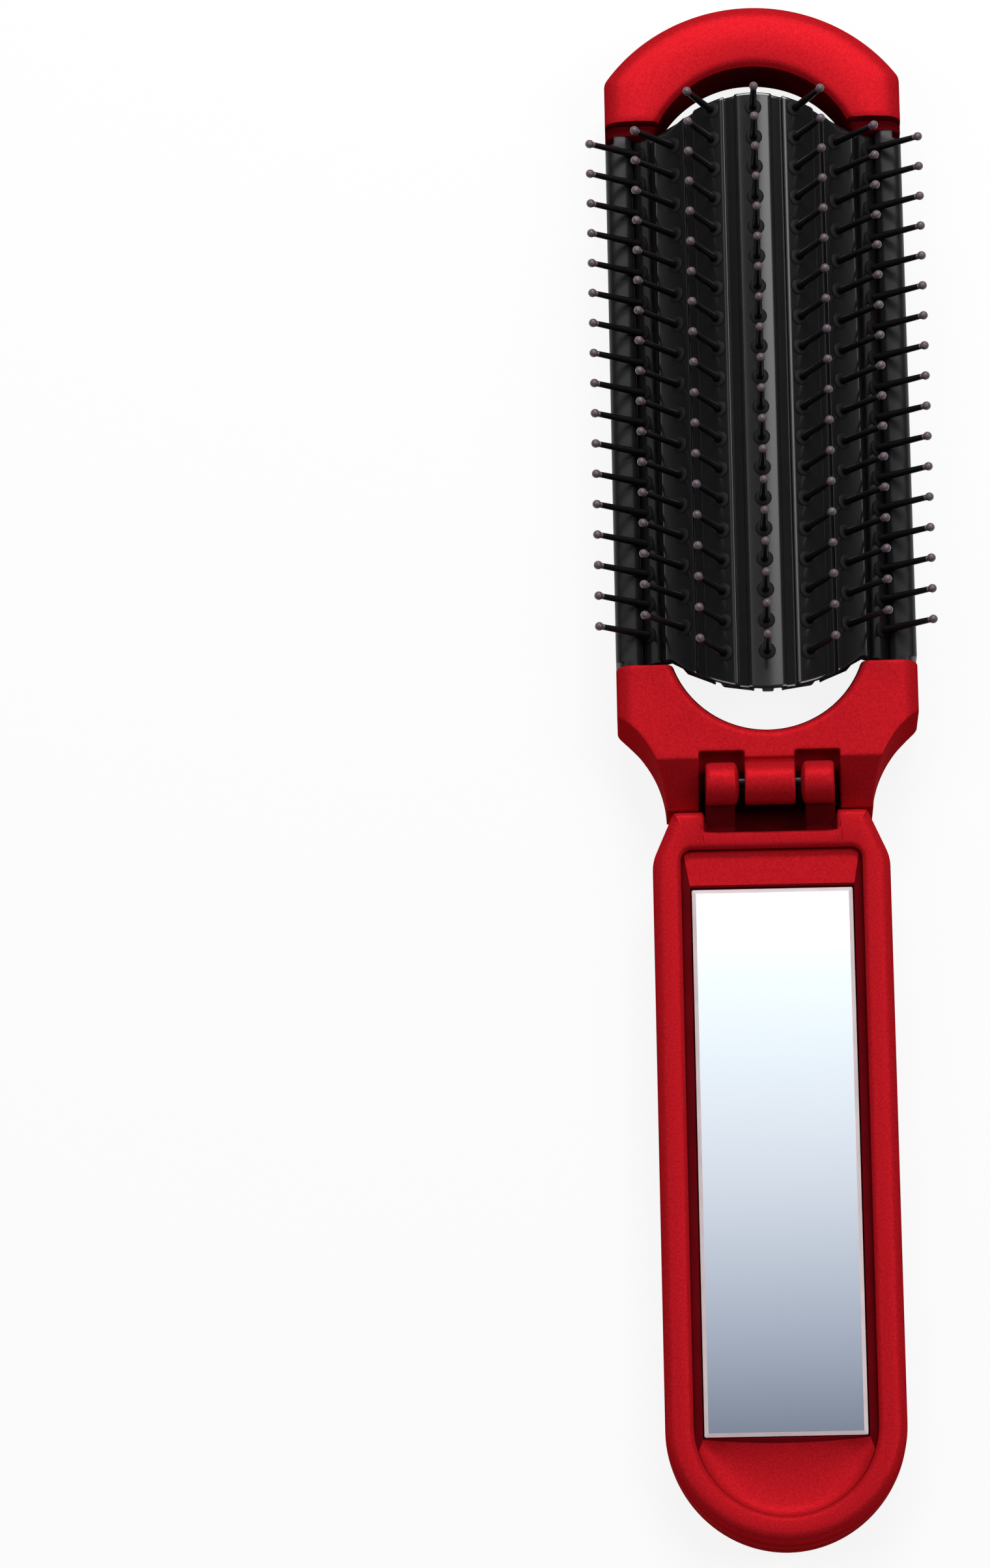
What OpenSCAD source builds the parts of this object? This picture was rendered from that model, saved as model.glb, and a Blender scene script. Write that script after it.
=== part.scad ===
// Folding pocket hairbrush with a mirror in its handle.
// X runs across the brush, +Y to the tip of the head, +Z out of the bristle side.
// The origin is in the middle of the open brush's length, on the surface it lies on.
// Inside the modules, y is counted from the fold hinge's axis.

/* [Overall] */
// Length of the head, from the fold hinge to its tip
head_len = 114.6; // [112:0.2:122]
// Length of the handle, from the fold hinge to its end
handle_len = 105.8; // [104:0.2:112]
// Width of the head over its side rails
head_w = 42; // [41:0.5:45]
// Width of the handle
handle_w = 33; // [32.5:0.1:33.5]
// Height of the head's two shells above the table
head_h = 14.3; // [14:0.1:14.5]
// Thickness of the handle
handle_h = 10.5; // [10:0.1:11]

/* [Head shells] */
// Outer radius of the cap's arch
cap_r = 25.5; // [24:0.1:27]
// Radius of the opening in the cap
cap_bore_r = 15; // [14:0.1:15.2]
// Rounding of the upper edges of both openings
opening_round = 1.3; // [0.8:0.1:1.8]
// Width of the cap's arch at its middle
cap_face = 9.2; // [8.5:0.1:10]
// Length of the cap, from its tip to the ends of its legs
cap_len = 19.2; // [18.6:0.1:19.6]
// Height of the flare under the cap's opening
flare_h = 4.5; // [3:0.1:5]
// Width of that flare
flare_w = 1.6; // [1:0.1:2]
// Length of the lowered land at the end of each leg of the cap
land_len = 1.5; // [1:0.1:2]
// Distance from the cap's face down to that land
land_drop = 1.9; // [1:0.1:2]
// Distance from the fold hinge to the yoke's upper edge
yoke_top = 17.1; // [16.6:0.1:17.4]
// Radius of the opening in the yoke
yoke_bore_r = 13.8; // [13:0.1:14.2]
// Distance from the fold hinge to the yoke's opening
yoke_web = 7.6; // [7:0.1:8.5]
// Half width of the yoke's ears at their tips
ear_half = 14.4; // [13.8:0.1:14.9]
// Distance that the ears reach past the hinge axis
ear_reach = 2.6; // [2:0.1:2.8]
// Distance from the hinge axis to the line where the ears begin to slope down
slope_y = 3.4; // [3:0.1:4]
// Height of the ears at their tips
ear_z = 8.4; // [7.5:0.1:10]
// Gap between the outer knuckles and the ears
ear_gap = 0.8; // [0.4:0.1:1]
// Radius of the hollow flanks between the yoke's shoulders and ears
flank_r = 16; // [12:0.5:24]
// Gap under the yoke
yoke_lift = 0.6; // [0.2:0.1:1]
// Height of the shelf that closes the gap under the hinge
shelf_h = 2.4; // [1.6:0.1:3]
// Gap between the shelf and the handle
shelf_gap = 0.5; // [0.3:0.05:0.8]
// Distance from a shoulder's corner to the end of the yoke's opening
shoulder_low = 2.3; // [1:0.1:3]
// Radius of the shells' rounded upper edges
shell_round = 2.6; // [1.5:0.1:3]
// Radius of the shells' rounded lower edges
shell_foot_round = 1.6; // [0.8:0.1:2]

/* [Side rails] */
// Thickness of a side rail
rail_t = 3.7; // [3.5:0.1:4]
// Height of a side rail
rail_h = 10.4; // [10:0.1:11]
// Gap under the side rails
rail_lift = 1.8; // [1:0.1:2]
// Radius of a rail's outer edges
rail_round = 1.3; // [0.5:0.1:1.7]
// Width of the bevel on a rail's inner upper edge
rail_bevel = 0.9; // [0.8:0.1:1.2]
// Length of the tongues that plug into the shells
tenon_len = 5; // [3:0.1:6]
// Thickness of those tongues
tenon_t = 1.8; // [1.4:0.1:2.2]
// Height of those tongues
tenon_h = 4; // [3:0.1:4.4]
// Distance from a rail's inner side to the tongues
tenon_in = 0.7; // [0.5:0.1:0.9]
// Distance from a rail's underside to the tongues
tenon_up = 1.2; // [0.8:0.1:1.6]
// Play around the tongues in their sockets
tenon_play = 0.08; // [0.04:0.01:0.15]
// Play beyond the end of each tongue
tenon_end = 0.3; // [0.1:0.1:0.5]
// Length of the notch at each outer corner of a rail
notch_len = 0.9; // [0.4:0.1:1.5]
// Depth of that notch
notch_depth = 1.2; // [0.6:0.1:1.5]

/* [Bristle bars] */
// Height of the line on which the bars turn in the rails
bead_z = 9.2; // [9:0.1:9.6]
// Rise of the bars' arch above that line
arch_rise = 8.3; // [7.8:0.1:8.4]
// Thickness of the bars
bar_t = 2; // [1.8:0.1:2.2]
// Distance from the outer row of pins to the bead in the rail
bead_reach = 2.57; // [2.4:0.01:2.8]
// Radius of that bead
bead_r = 1; // [0.9:0.02:1.1]
// Radial play of the bead in its groove
bead_play = 0.05; // [0.02:0.01:0.1]
// Gap left between two bars where they pass closest
bar_gap = 0.45; // [0.4:0.01:0.55]
// Radius of the pad's rounded ends, seen from above
pad_end_r = 18.6; // [17.6:0.1:22]
// Gap between the pad's upper end and the cap
pad_gap_top = 5.9; // [4.8:0.1:7]
// Gap between the pad's lower end and the yoke
pad_gap_low = 4.5; // [3.6:0.1:5]
// Gap between the outer bars' ends and the shells
side_gap = 1.2; // [0.8:0.1:1.7]
// Distance of the rows' middle from the middle of the side rails, towards the cap
pad_shift = 1.1; // [0:0.1:1.6]

/* [Pins] */
// Length of a pin above its bar
pin_len = 8.7; // [8:0.1:9.2]
// Radius of a pin at its foot
pin_foot_r = 0.56; // [0.45:0.01:0.65]
// Radius of a pin under its ball
pin_tip_r = 0.4; // [0.3:0.01:0.45]
// Radius of the ball on a pin's end
ball_r = 0.62; // [0.5:0.01:0.7]
// Distance between two pins of a row
pin_pitch = 4.43; // [4.2:0.01:4.6]
// Angle that the side rows' pins lean outwards from their bars
pin_lean = 8; // [6:0.5:11]
// Depth of a pin's foot in its bar
pin_seat = 1.3; // [1:0.05:1.4]
// Least distance from a row's last pin to the end of its bar
pin_margin = 1.3; // [1.2:0.1:2.5]

/* [Fold hinge] */
// Height of the fold hinge's axis
hinge_z = 12.75; // [12.5:0.05:13]
// Radius of the knuckles
knuckle_r = 3; // [2.8:0.05:3.1]
// Half width of the yoke's middle knuckle
knuckle_mid = 3.5; // [3:0.1:3.7]
// Gap between the middle knuckle and the outer two
knuckle_gap = 0.7; // [0.4:0.05:0.8]
// Length of an outer knuckle
knuckle_len = 4.8; // [4.4:0.1:5]
// Height of the domed end of an outer knuckle
knuckle_dome = 0.7; // [0.3:0.05:0.9]
// Radius of the hinge pin
hinge_pin_r = 1.1; // [1:0.02:1.2]
// Distance from the handle's face down to the arms of the outer knuckles
arm_drop = 0.9; // [0.4:0.1:1.4]
// Height at which those arms leave the handle
arm_foot = 5.5; // [5.2:0.1:6.5]
// Radial play of the hinge pin in the yoke
hinge_play = 0.05; // [0.02:0.01:0.09]
// Radial play of the hinge pin in the handle
hinge_grip = 0.01; // [0.01:0.005:0.02]
// Gap around the knuckles in the yoke's hollow
hinge_clear = 1.6; // [1.2:0.1:1.8]
// Depth of the groove beside the middle knuckle, below the hinge axis
groove_drop = 0.6; // [0:0.1:1]
// Distance that each end of the hinge pin lies inside its knuckle
pin_inset = 0.5; // [0.2:0.1:1]

/* [Handle] */
// Distance from the hinge axis to the handle's upper edge
handle_top = 3.2; // [3:0.05:3.4]
// Distance from the hinge axis to the floor of the hinge slot
slot_floor = 6.2; // [6:0.1:7.6]
// Half width of the handle at its upper edge
neck_half = 13.6; // [13:0.1:14]
// Radius of the handle's shoulders
shoulder_r = 6; // [4:0.5:7]
// Length of the slant between the handle's upper edge and its shoulders
slant_len = 8; // [6:0.5:12]
// Width of the rim around the mirror
rim_w = 4; // [3.8:0.1:4.4]
// Corner radius at the upper end of that rim's inside
step_corner = 1.5; // [0.5:0.1:2.5]
// Depth of the hollow for the thumb, below the mirror
dish_depth = 1.1; // [0.5:0.1:1.5]
// Distance of the hollow from the mirror and from the rim
dish_edge = 0.6; // [0.3:0.1:1]
// Depth of the step inside the rim
step_depth = 1.6; // [1.2:0.1:1.9]
// Distance from the hinge axis to the step
step_top = 8.7; // [8.4:0.1:9.4]
// Radius of the handle's rounded rim
handle_round = 1.8; // [1:0.1:2.2]
// Radius of the handle's arched back
back_r = 42; // [38:0.5:60]
// Radius of the handle's lower edges
back_round = 2.4; // [1:0.1:3]
// Height of the seam between the handle's two shells
seam_z = 5.1; // [4.6:0.1:5.2]
// Wall thickness of the handle's back shell
wall_t = 1.8; // [1.4:0.1:2.2]
// Height of the rib that locates the front shell in the back one
rib_h = 1.2; // [0.6:0.1:1.4]
// Thickness of that rib
rib_t = 1; // [0.8:0.1:1.4]
// Play between that rib and the back shell
rib_play = 0.1; // [0.05:0.01:0.2]

/* [Mirror] */
// Width of the mirror
mirror_w = 22.4; // [20:0.1:22.6]
// Length of the mirror
mirror_len = 76.8; // [70:0.2:77.4]
// Thickness of the mirror
mirror_t = 1.6; // [1.2:0.1:2]
// Distance from the hinge axis to the mirror
mirror_top = 14; // [13.4:0.1:14.2]
// Depth of the mirror's face below the step
mirror_sink = 0.2; // [0.1:0.05:0.4]
// Gap around the mirror in its pocket
mirror_gap = 0.15; // [0.1:0.01:0.3]
// Thickness of the foam tape behind the mirror
tape_t = 0.4; // [0.2:0.05:0.6]
// Distance from the mirror's edge to the tape
tape_inset = 3; // [1:0.5:6]

/* [Hidden] */

red = [0.80, 0.09, 0.12];
black = [0.07, 0.08, 0.10];
soft_black = [0.10, 0.10, 0.11];

// Facets of exact round shapes, and of shapes inside a hull
fine = 64;
coarse = 32;
// Overlap that makes a cut run clean through a face
past = 1;
// Gap between flat end faces that face each other
face_gap = 0.1;

// Places along the brush, from the hinge axis
origin_y = (handle_len - head_len) / 2;
cap_centre_y = head_len - cap_r;
cap_bore_y = head_len - cap_face - cap_bore_r;
cap_legs_y = head_len - cap_len;
yoke_bore_y = yoke_web + yoke_bore_r;
shoulder_y = yoke_web + shoulder_low;
handle_end_y = -(handle_len - handle_w / 2);

// The side rails
half_w = head_w / 2;
rail_in = half_w - rail_t;
tenon_x = rail_in + tenon_in;
tenon_z = rail_lift + tenon_up;

// The bars' arch runs through the middle of their thickness, from bead to bead
bead_x = rail_in;
arch_r = (bead_x * bead_x + arch_rise * arch_rise) / (2 * arch_rise);
arch_half = asin(bead_x / arch_r);
arch_z = bead_z + arch_rise - arch_r;
rows_side = 3;
row_pitch = (arch_r * arch_half * PI / 180 - bead_reach) / rows_side;
function row_angle(i) = i * row_pitch / arch_r * 180 / PI;
// Half the distance that a row of pins drops when the pad is pushed in
function row_drop(i) = arch_r * (cos(row_angle(i)) - cos(arch_half));
// The line that a row turns about, as a distance from the middle
function pole_x(i) = arch_r * sin(row_angle(i)) + row_drop(i) / tan(row_angle(i));
// Where a row stands when the pad is flat, half way down
function flat_x(i) = i == 0 ? 0 : pole_x(i) - norm([row_drop(i) / tan(row_angle(i)), row_drop(i)]);
flat_pitch = min(flat_x(1), flat_x(2) - flat_x(1), flat_x(3) - flat_x(2));

// Edges of a bar's section, counted from its row of pins
bar_half_t = bar_t / 2;
bar_lip = row_pitch * 0.417;
bar_inner = flat_pitch - bar_gap - bar_lip;
bar_tongue = row_pitch - bar_lip + 0.1;
bar_core = flat_pitch - bar_gap - bar_tongue;
lip_under = 0.6;
tongue_over = 0.2;
tongue_taper = 0.2;

// The pad, seen from above
pad_top_y = cap_bore_y + cap_bore_r - pad_gap_top;
pad_low_y = yoke_web + pad_gap_low;
pad_mid_y = (cap_legs_y + yoke_top) / 2 + pad_shift;

// The knuckles
outer_in = knuckle_mid + knuckle_gap;
outer_out = outer_in + knuckle_len;
slot_half = outer_out + face_gap * 2;
hollow_half = outer_out + ear_gap;
groove_draft = 0.2;
hollow_r = knuckle_r + hinge_clear;

// Distance that the handle's hollow stays narrow behind its upper end
shoulder_drop = 6;

// The mirror's pocket
step_z = handle_h - step_depth;
mirror_face_z = step_z - mirror_sink;
pocket_z = mirror_face_z - mirror_t - tape_t;
mirror_y = -(mirror_top + mirror_len);

// Rectangle from x = -half to half and from z0 to z1, its upper and lower corners rounded
module round_section(half, z0, z1, r_top, r_low) {
    translate([-half, z0 + r_low]) square([2 * half, z1 - z0 - r_top - r_low]);
    translate([-half + r_top, z1 - 2 * r_top]) square([2 * (half - r_top), 2 * r_top]);
    translate([-half + r_low, z0]) square([2 * (half - r_low), 2 * r_low]);
    for (s = [-1, 1]) {
        translate([s * (half - r_top), z1 - r_top]) circle(r_top, $fn = fine);
        translate([s * (half - r_low), z0 + r_low]) circle(r_low, $fn = fine);
    }
}

// Disc with rounded edges, the same section turned about Z
module round_disc(r, z0, z1, r_top, r_low) {
    rotate_extrude($fn = 96) intersection() {
        round_section(r, z0, z1, r_top, r_low);
        square([r, z1]);
    }
}

// What the rounding of an opening's upper edge leaves off, about the opening's own axis
module opening_edge(r) {
    rotate_extrude($fn = 96) difference() {
        translate([r - past, head_h - opening_round]) square([opening_round + past, opening_round + past]);
        translate([r + opening_round, head_h - opening_round]) circle(opening_round, $fn = fine);
    }
}

// Cylinder along X between two places, at one distance y and height z
module x_rod(x0, x1, y, z, r) {
    translate([x0, y, z]) rotate([0, 90, 0]) cylinder(h = x1 - x0, r = r, $fn = fine);
}

// Cylinder along Y between two places
module y_rod(y0, y1, x, z, r) {
    translate([x, y0, z]) rotate([-90, 0, 0]) cylinder(h = y1 - y0, r = r, $fn = fine);
}

// Extrudes an outline drawn in (y, z) along X
module along_x(x0, x1) {
    translate([x0, 0, 0]) rotate([90, 0, 90]) linear_extrude(x1 - x0) children();
}

// Extrudes an outline drawn in (x, z) along Y, from y0 up to y1
module along_y(y0, y1) {
    translate([0, y1, 0]) rotate([90, 0, 0]) linear_extrude(y1 - y0) children();
}

// Everything is drawn about the hinge axis and then moved along the brush
module place() {
    translate([0, origin_y, 0]) children();
}

// The socket of a rail's tongue
module tenon_socket(side, y0, y1) {
    for (s = side) {
        translate([s * (tenon_x + tenon_t / 2), (y0 + y1) / 2, tenon_z + tenon_h / 2])
            cube([tenon_t + 2 * tenon_play, y1 - y0, tenon_h + 2 * tenon_play], center = true);
    }
}

// The arched shell that closes the head's tip
module top_cap() {
    low = cap_legs_y + face_gap;
    color(red) place() difference() {
        intersection() {
            translate([0, cap_centre_y, 0])
                round_disc(cap_r, 0, head_h, shell_round, shell_foot_round);
            along_y(low, head_len + past) round_section(half_w, 0, head_h, shell_round, shell_foot_round);
        }
        translate([0, cap_bore_y, -past])
            cylinder(h = head_h + 2 * past, r = cap_bore_r, $fn = 96);
        translate([0, cap_bore_y, -past]) cylinder(h = flare_h + past, $fn = 96,
            r1 = cap_bore_r + flare_w * (flare_h + past) / flare_h, r2 = cap_bore_r);
        translate([0, cap_bore_y, 0]) opening_edge(cap_bore_r);
        translate([-head_w, low - past, head_h - land_drop])
            cube([2 * head_w, land_len + past, land_drop + past]);
        tenon_socket([-1, 1], low - past, low + tenon_len + tenon_end);
    }
}

// What a hollow flank leaves off on the right side: all that lies outside a circle through the
// shoulder's corner and the ear's tip
module flank_cut() {
    dx = half_w - ear_half;
    dy = shoulder_y + ear_reach;
    chord = norm([dx, dy]);
    reach = sqrt(flank_r * flank_r - chord * chord / 4);
    translate([0, 0, -past]) linear_extrude(head_h + 2 * past) {
        translate([half_w + ear_half, shoulder_y - ear_reach] / 2 + reach / chord * [dy, -dx])
            circle(flank_r, $fn = 96);
        polygon([[half_w + past, shoulder_y], [half_w, shoulder_y],
            [ear_half, -ear_reach], [ear_half, -ear_reach - past], [half_w + past, -ear_reach - past]]);
    }
}

// What the slope of the ears leaves off, in (y, z)
module slope_outline() {
    steep = (head_h - ear_z) / (slope_y + ear_reach);
    polygon([
        [slope_y, head_h], [slope_y + past, head_h + steep * past], [slope_y, head_h + 3 * past],
        [-ear_reach - past, head_h + 3 * past], [-ear_reach - past, ear_z - steep * past]
    ]);
}

// Outline, in (y, z) from the hinge axis, of the middle knuckle with its neck, which lies in a groove
module mid_knuckle_outline() {
    circle(knuckle_r, $fn = fine);
    polygon([
        [0, -knuckle_r],
        [hollow_r + past, -knuckle_r - past],
        [hollow_r + past, head_h - hinge_z],
        [slope_y, head_h - hinge_z],
        [slope_y - groove_draft, -groove_drop],
        [0, -groove_drop]
    ]);
}

// The shelf under the hinge. It fills the slot in the handle, joins the ears and stops the handle when
// the brush is open.
module shelf() {
    low = -slot_floor + shelf_gap;
    half = slot_half - shelf_gap;
    translate([-half, low, yoke_lift]) cube([2 * half, past - low, shelf_h]);
    translate([-hollow_half - past, -ear_reach, yoke_lift])
        cube([2 * (hollow_half + past), ear_reach + past, shelf_h]);
}

// The shell at the head's lower end, with the middle knuckle and two ears
module hinge_yoke() {
    color(red) place() difference() {
        union() {
            difference() {
                along_y(-ear_reach, yoke_top - face_gap)
                    round_section(half_w, yoke_lift, head_h, shell_round, shell_foot_round);
                translate([0, yoke_bore_y, -past])
                    cylinder(h = head_h + 2 * past, r = yoke_bore_r, $fn = 96);
                translate([0, yoke_bore_y, 0]) opening_edge(yoke_bore_r);
                flank_cut();
                mirror([1, 0, 0]) flank_cut();
                along_x(-half_w - past, half_w + past) slope_outline();
                x_rod(-hollow_half, hollow_half, 0, hinge_z, hollow_r);
                translate([-hollow_half, -ear_reach - past, -past])
                    cube([2 * hollow_half, ear_reach + past, head_h + 2 * past]);
            }
            translate([0, 0, hinge_z]) along_x(-knuckle_mid, knuckle_mid) mid_knuckle_outline();
            shelf();
        }
        x_rod(-knuckle_mid - past, knuckle_mid + past, 0, hinge_z, hinge_pin_r + hinge_play);
        tenon_socket([-1, 1], yoke_top - tenon_len - tenon_end, yoke_top + past);
    }
}

// Section of a rail in (x, z), its outer side rounded and its inner upper edge bevelled
module rail_section() {
    hull() {
        translate([rail_in, rail_lift]) square([rail_bevel, rail_h - rail_bevel]);
        translate([rail_in + rail_bevel, rail_lift]) square([rail_bevel / 2, rail_h]);
        for (z = [rail_lift + rail_round, rail_lift + rail_h - rail_round]) {
            translate([half_w - rail_round, z]) circle(rail_round, $fn = coarse);
        }
    }
}

// A side rail with the groove for the outer bar's bead and a tongue at each end
module side_rail(side) {
    low = yoke_top + face_gap;
    top = cap_legs_y - face_gap;
    color(black) place() mirror([side < 0 ? 1 : 0, 0, 0]) {
        difference() {
            along_y(low, top) rail_section();
            y_rod(low - past, top + past, bead_x, bead_z, bead_r + bead_play);
            for (y = [low - past, top - notch_len]) {
                translate([half_w - notch_depth, y, 0])
                    cube([notch_depth + past, notch_len + past, head_h]);
            }
        }
        for (y = [low - tenon_len, top - past]) {
            translate([tenon_x, y, tenon_z]) cube([tenon_t, tenon_len + past, tenon_h]);
        }
    }
}

// The steel pin through the three knuckles
module hinge_pin() {
    color("silver") place()
        x_rod(-outer_out + pin_inset, outer_out - pin_inset, 0, hinge_z, hinge_pin_r);
}

// The corner that a shoulder of the handle leaves off, on the right side
module shoulder_cut() {
    slant_y = -handle_top - slant_len;
    translate([0, 0, -past]) linear_extrude(handle_h + 2 * past) difference() {
        translate([neck_half, slant_y]) square([handle_w, slant_len + past]);
        hull() {
            translate([handle_w / 2 - shoulder_r, slant_y]) circle(shoulder_r, $fn = fine);
            translate([0, slant_y]) square([neck_half, slant_len + handle_top]);
        }
    }
}

// Outline of the step inside the rim
module step_plan() {
    r = handle_w / 2 - rim_w;
    hull() {
        translate([0, handle_end_y]) circle(r, $fn = 80);
        for (s = [-1, 1]) translate([s * (r - step_corner), -step_top - step_corner])
            circle(step_corner, $fn = coarse);
    }
}

// What the hollow for the thumb leaves off: a shallow groove across the step, below the mirror
module thumb_dish() {
    low = handle_end_y - handle_w / 2 + rim_w + dish_edge;
    top = mirror_y - mirror_gap - dish_edge;
    half = (top - low) / 2;
    r = (half * half + dish_depth * dish_depth) / (2 * dish_depth);
    intersection() {
        x_rod(-handle_w / 2, handle_w / 2, (top + low) / 2, step_z + r - dish_depth, r);
        translate([0, handle_end_y, 0])
            cylinder(h = step_z + past, r = handle_w / 2 - rim_w - dish_edge, $fn = 80);
    }
}

// Outline, in (y, z) from the hinge axis, of the arm that carries an outer knuckle
module arm_outline() {
    polygon([
        [-slot_floor - past, arm_foot - hinge_z],
        [-slot_floor - past, handle_h - arm_drop - hinge_z],
        [-slot_floor * 0.67, handle_h - arm_drop - hinge_z],
        [-knuckle_r * 0.98, -knuckle_r * 0.2],
        [0, 0],
        [knuckle_r * 0.72, -knuckle_r * 0.69],
        [-knuckle_r * 0.2, -knuckle_r * 1.47],
        [-knuckle_r, arm_foot + knuckle_r * 0.23 - hinge_z]
    ]);
}

// An outer knuckle on its arm, with a domed end towards the middle one
module outer_knuckle() {
    translate([outer_out, 0, hinge_z]) rotate([0, -90, 0]) rotate_extrude($fn = fine) {
        square([knuckle_r, knuckle_len - knuckle_dome]);
        intersection() {
            square([knuckle_r, knuckle_len]);
            translate([0, knuckle_len - knuckle_dome])
                scale_circle(knuckle_r, knuckle_dome);
        }
    }
    translate([0, 0, hinge_z])
        along_x(outer_in + knuckle_dome, outer_out) arm_outline();
}

// Cap of a circle with a given half chord and rise, standing on y = 0
module scale_circle(half_chord, rise) {
    r = (half_chord * half_chord + rise * rise) / (2 * rise);
    translate([0, rise - r]) circle(r, $fn = 96);
}

// The handle's outer form, between two heights, with the slot for the hinge
module handle_form(z0, z1) {
    difference() {
        intersection() {
            union() {
                along_y(handle_end_y, -handle_top)
                    round_section(handle_w / 2, 0, handle_h, handle_round, back_round);
                translate([0, handle_end_y, 0])
                    round_disc(handle_w / 2, 0, handle_h, handle_round, back_round);
            }
            y_rod(-handle_len - past, past, 0, back_r, back_r);
            translate([-handle_w, -handle_len - past, z0]) cube([2 * handle_w, handle_len + past, z1 - z0]);
        }
        shoulder_cut();
        mirror([1, 0, 0]) shoulder_cut();
        translate([-slot_half, -slot_floor, -past])
            cube([2 * slot_half, slot_floor, handle_h + 2 * past]);
    }
}

// Outline of the hollow in the handle, drawn in by a play
module hollow_plan(play) {
    r = handle_w / 2 - wall_t - play;
    top = -slot_floor - 2 * wall_t - play;
    translate([0, handle_end_y]) circle(r, $fn = 96);
    translate([-r, handle_end_y]) square([2 * r, top - handle_end_y - shoulder_drop]);
    translate([-neck_half + wall_t, handle_end_y]) square([2 * (neck_half - wall_t), top - handle_end_y]);
}

// The front shell, with the rim around the mirror and the two outer knuckles
module handle_front() {
    color(red) place() {
        difference() {
            union() {
                difference() {
                    handle_form(seam_z, handle_h);
                    translate([0, 0, step_z]) linear_extrude(step_depth + past) step_plan();
                    translate([-mirror_w / 2 - mirror_gap, mirror_y - mirror_gap, pocket_z])
                        cube([mirror_w + 2 * mirror_gap, mirror_len + 2 * mirror_gap, handle_h]);
                    thumb_dish();
                }
                outer_knuckle();
                mirror([1, 0, 0]) outer_knuckle();
            }
            x_rod(-outer_out + pin_inset, outer_out - pin_inset, 0, hinge_z, hinge_pin_r + hinge_grip);
        }
        intersection() {
            translate([0, 0, seam_z - rib_h]) linear_extrude(rib_h + 0.2) difference() {
                hollow_plan(rib_play);
                hollow_plan(rib_play + rib_t);
            }
            y_rod(-handle_len, past, 0, back_r, back_r - wall_t - rib_play);
        }
    }
}

// The back shell, arched outside and hollow inside
module handle_back() {
    color(red) place() difference() {
        handle_form(0, seam_z);
        intersection() {
            translate([0, 0, wall_t]) linear_extrude(handle_h) hollow_plan(0);
            y_rod(-handle_len - past, past, 0, back_r, back_r - wall_t);
        }
    }
}

// The glass of the mirror
module mirror_glass() {
    color([0.85, 0.88, 0.92]) place()
        translate([-mirror_w / 2, mirror_y, mirror_face_z - mirror_t])
            cube([mirror_w, mirror_len, mirror_t]);
}

// The foam tape that holds the mirror
module mirror_tape() {
    color("white") place()
        translate([-mirror_w / 2 + tape_inset, mirror_y + tape_inset, pocket_z])
            cube([mirror_w - 2 * tape_inset, mirror_len - 2 * tape_inset, tape_t]);
}

// Section of the middle bar, with a lip on both sides
module centre_section() {
    polygon([
        [-bar_lip, lip_under], [-bar_lip, bar_half_t], [bar_lip, bar_half_t], [bar_lip, lip_under],
        [bar_core, lip_under], [bar_core, -bar_half_t], [-bar_core, -bar_half_t], [-bar_core, lip_under]
    ]);
}

// Section of a side bar: its tongue reaches under the lip of the bar before it
module side_section() {
    polygon([
        [-bar_inner, tongue_over], [-bar_inner, bar_half_t],
        [bar_lip, bar_half_t], [bar_lip, lip_under], [bar_core, lip_under], [bar_core, -bar_half_t],
        [-bar_tongue, -bar_half_t], [-bar_tongue, tongue_over - tongue_taper]
    ]);
}

// Section of an outer bar, with the bead that turns in the rail
module outer_section() {
    neck = bead_r * 0.55;
    polygon([
        [-bar_inner, tongue_over], [-bar_inner, bar_half_t], [bead_reach * 0.42, bar_half_t],
        [bead_reach * 0.75, neck], [bead_reach, neck], [bead_reach, -neck],
        [bead_reach * 0.75, -neck], [bead_reach * 0.42, -bar_half_t],
        [-bar_tongue, -bar_half_t], [-bar_tongue, tongue_over - tongue_taper]
    ]);
}

// The pad's outline from above: two arcs and straight sides
module pad_plan() {
    intersection() {
        translate([-head_w, pad_low_y]) square([2 * head_w, pad_top_y - pad_low_y]);
        union() {
            translate([0, pad_top_y - pad_end_r]) circle(pad_end_r, $fn = 96);
            translate([0, pad_low_y + pad_end_r]) circle(pad_end_r, $fn = 96);
            side_plan();
        }
    }
}

// The band between the shells in which the outer bars lie
module side_plan() {
    translate([-head_w, yoke_top + side_gap]) square([2 * head_w, cap_legs_y - yoke_top - 2 * side_gap]);
}

// Moves a row's own frame, with its pins along Z, to the arch. Row 0 is the middle one.
module at_row(i) {
    a = row_angle(i);
    translate([arch_r * sin(a), 0, arch_z + arch_r * cos(a)]) rotate([0, a, 0]) children();
}

function is_centre(i) = i == 0;
// Half the length of a bar on one side of the rows' middle, at its row of pins: d is the distance
// from the middle to the pad's end
function arc_half(i, d) = d - pad_end_r + sqrt(pad_end_r * pad_end_r - pow(arch_r * sin(row_angle(i)), 2));
function bar_half(i) = i == rows_side
    ? min(cap_legs_y - side_gap - pad_mid_y, pad_mid_y - yoke_top - side_gap)
    : min(arc_half(i, pad_top_y - pad_mid_y), arc_half(i, pad_mid_y - pad_low_y));
// Pins on each side of a row's middle pin, and in all
function pins_beside(i) = floor((bar_half(i) - pin_margin) / pin_pitch);
function pin_count(i) = 1 + 2 * pins_beside(i);
function pin_y(i, k) = pad_mid_y + (k - pins_beside(i)) * pin_pitch;

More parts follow.
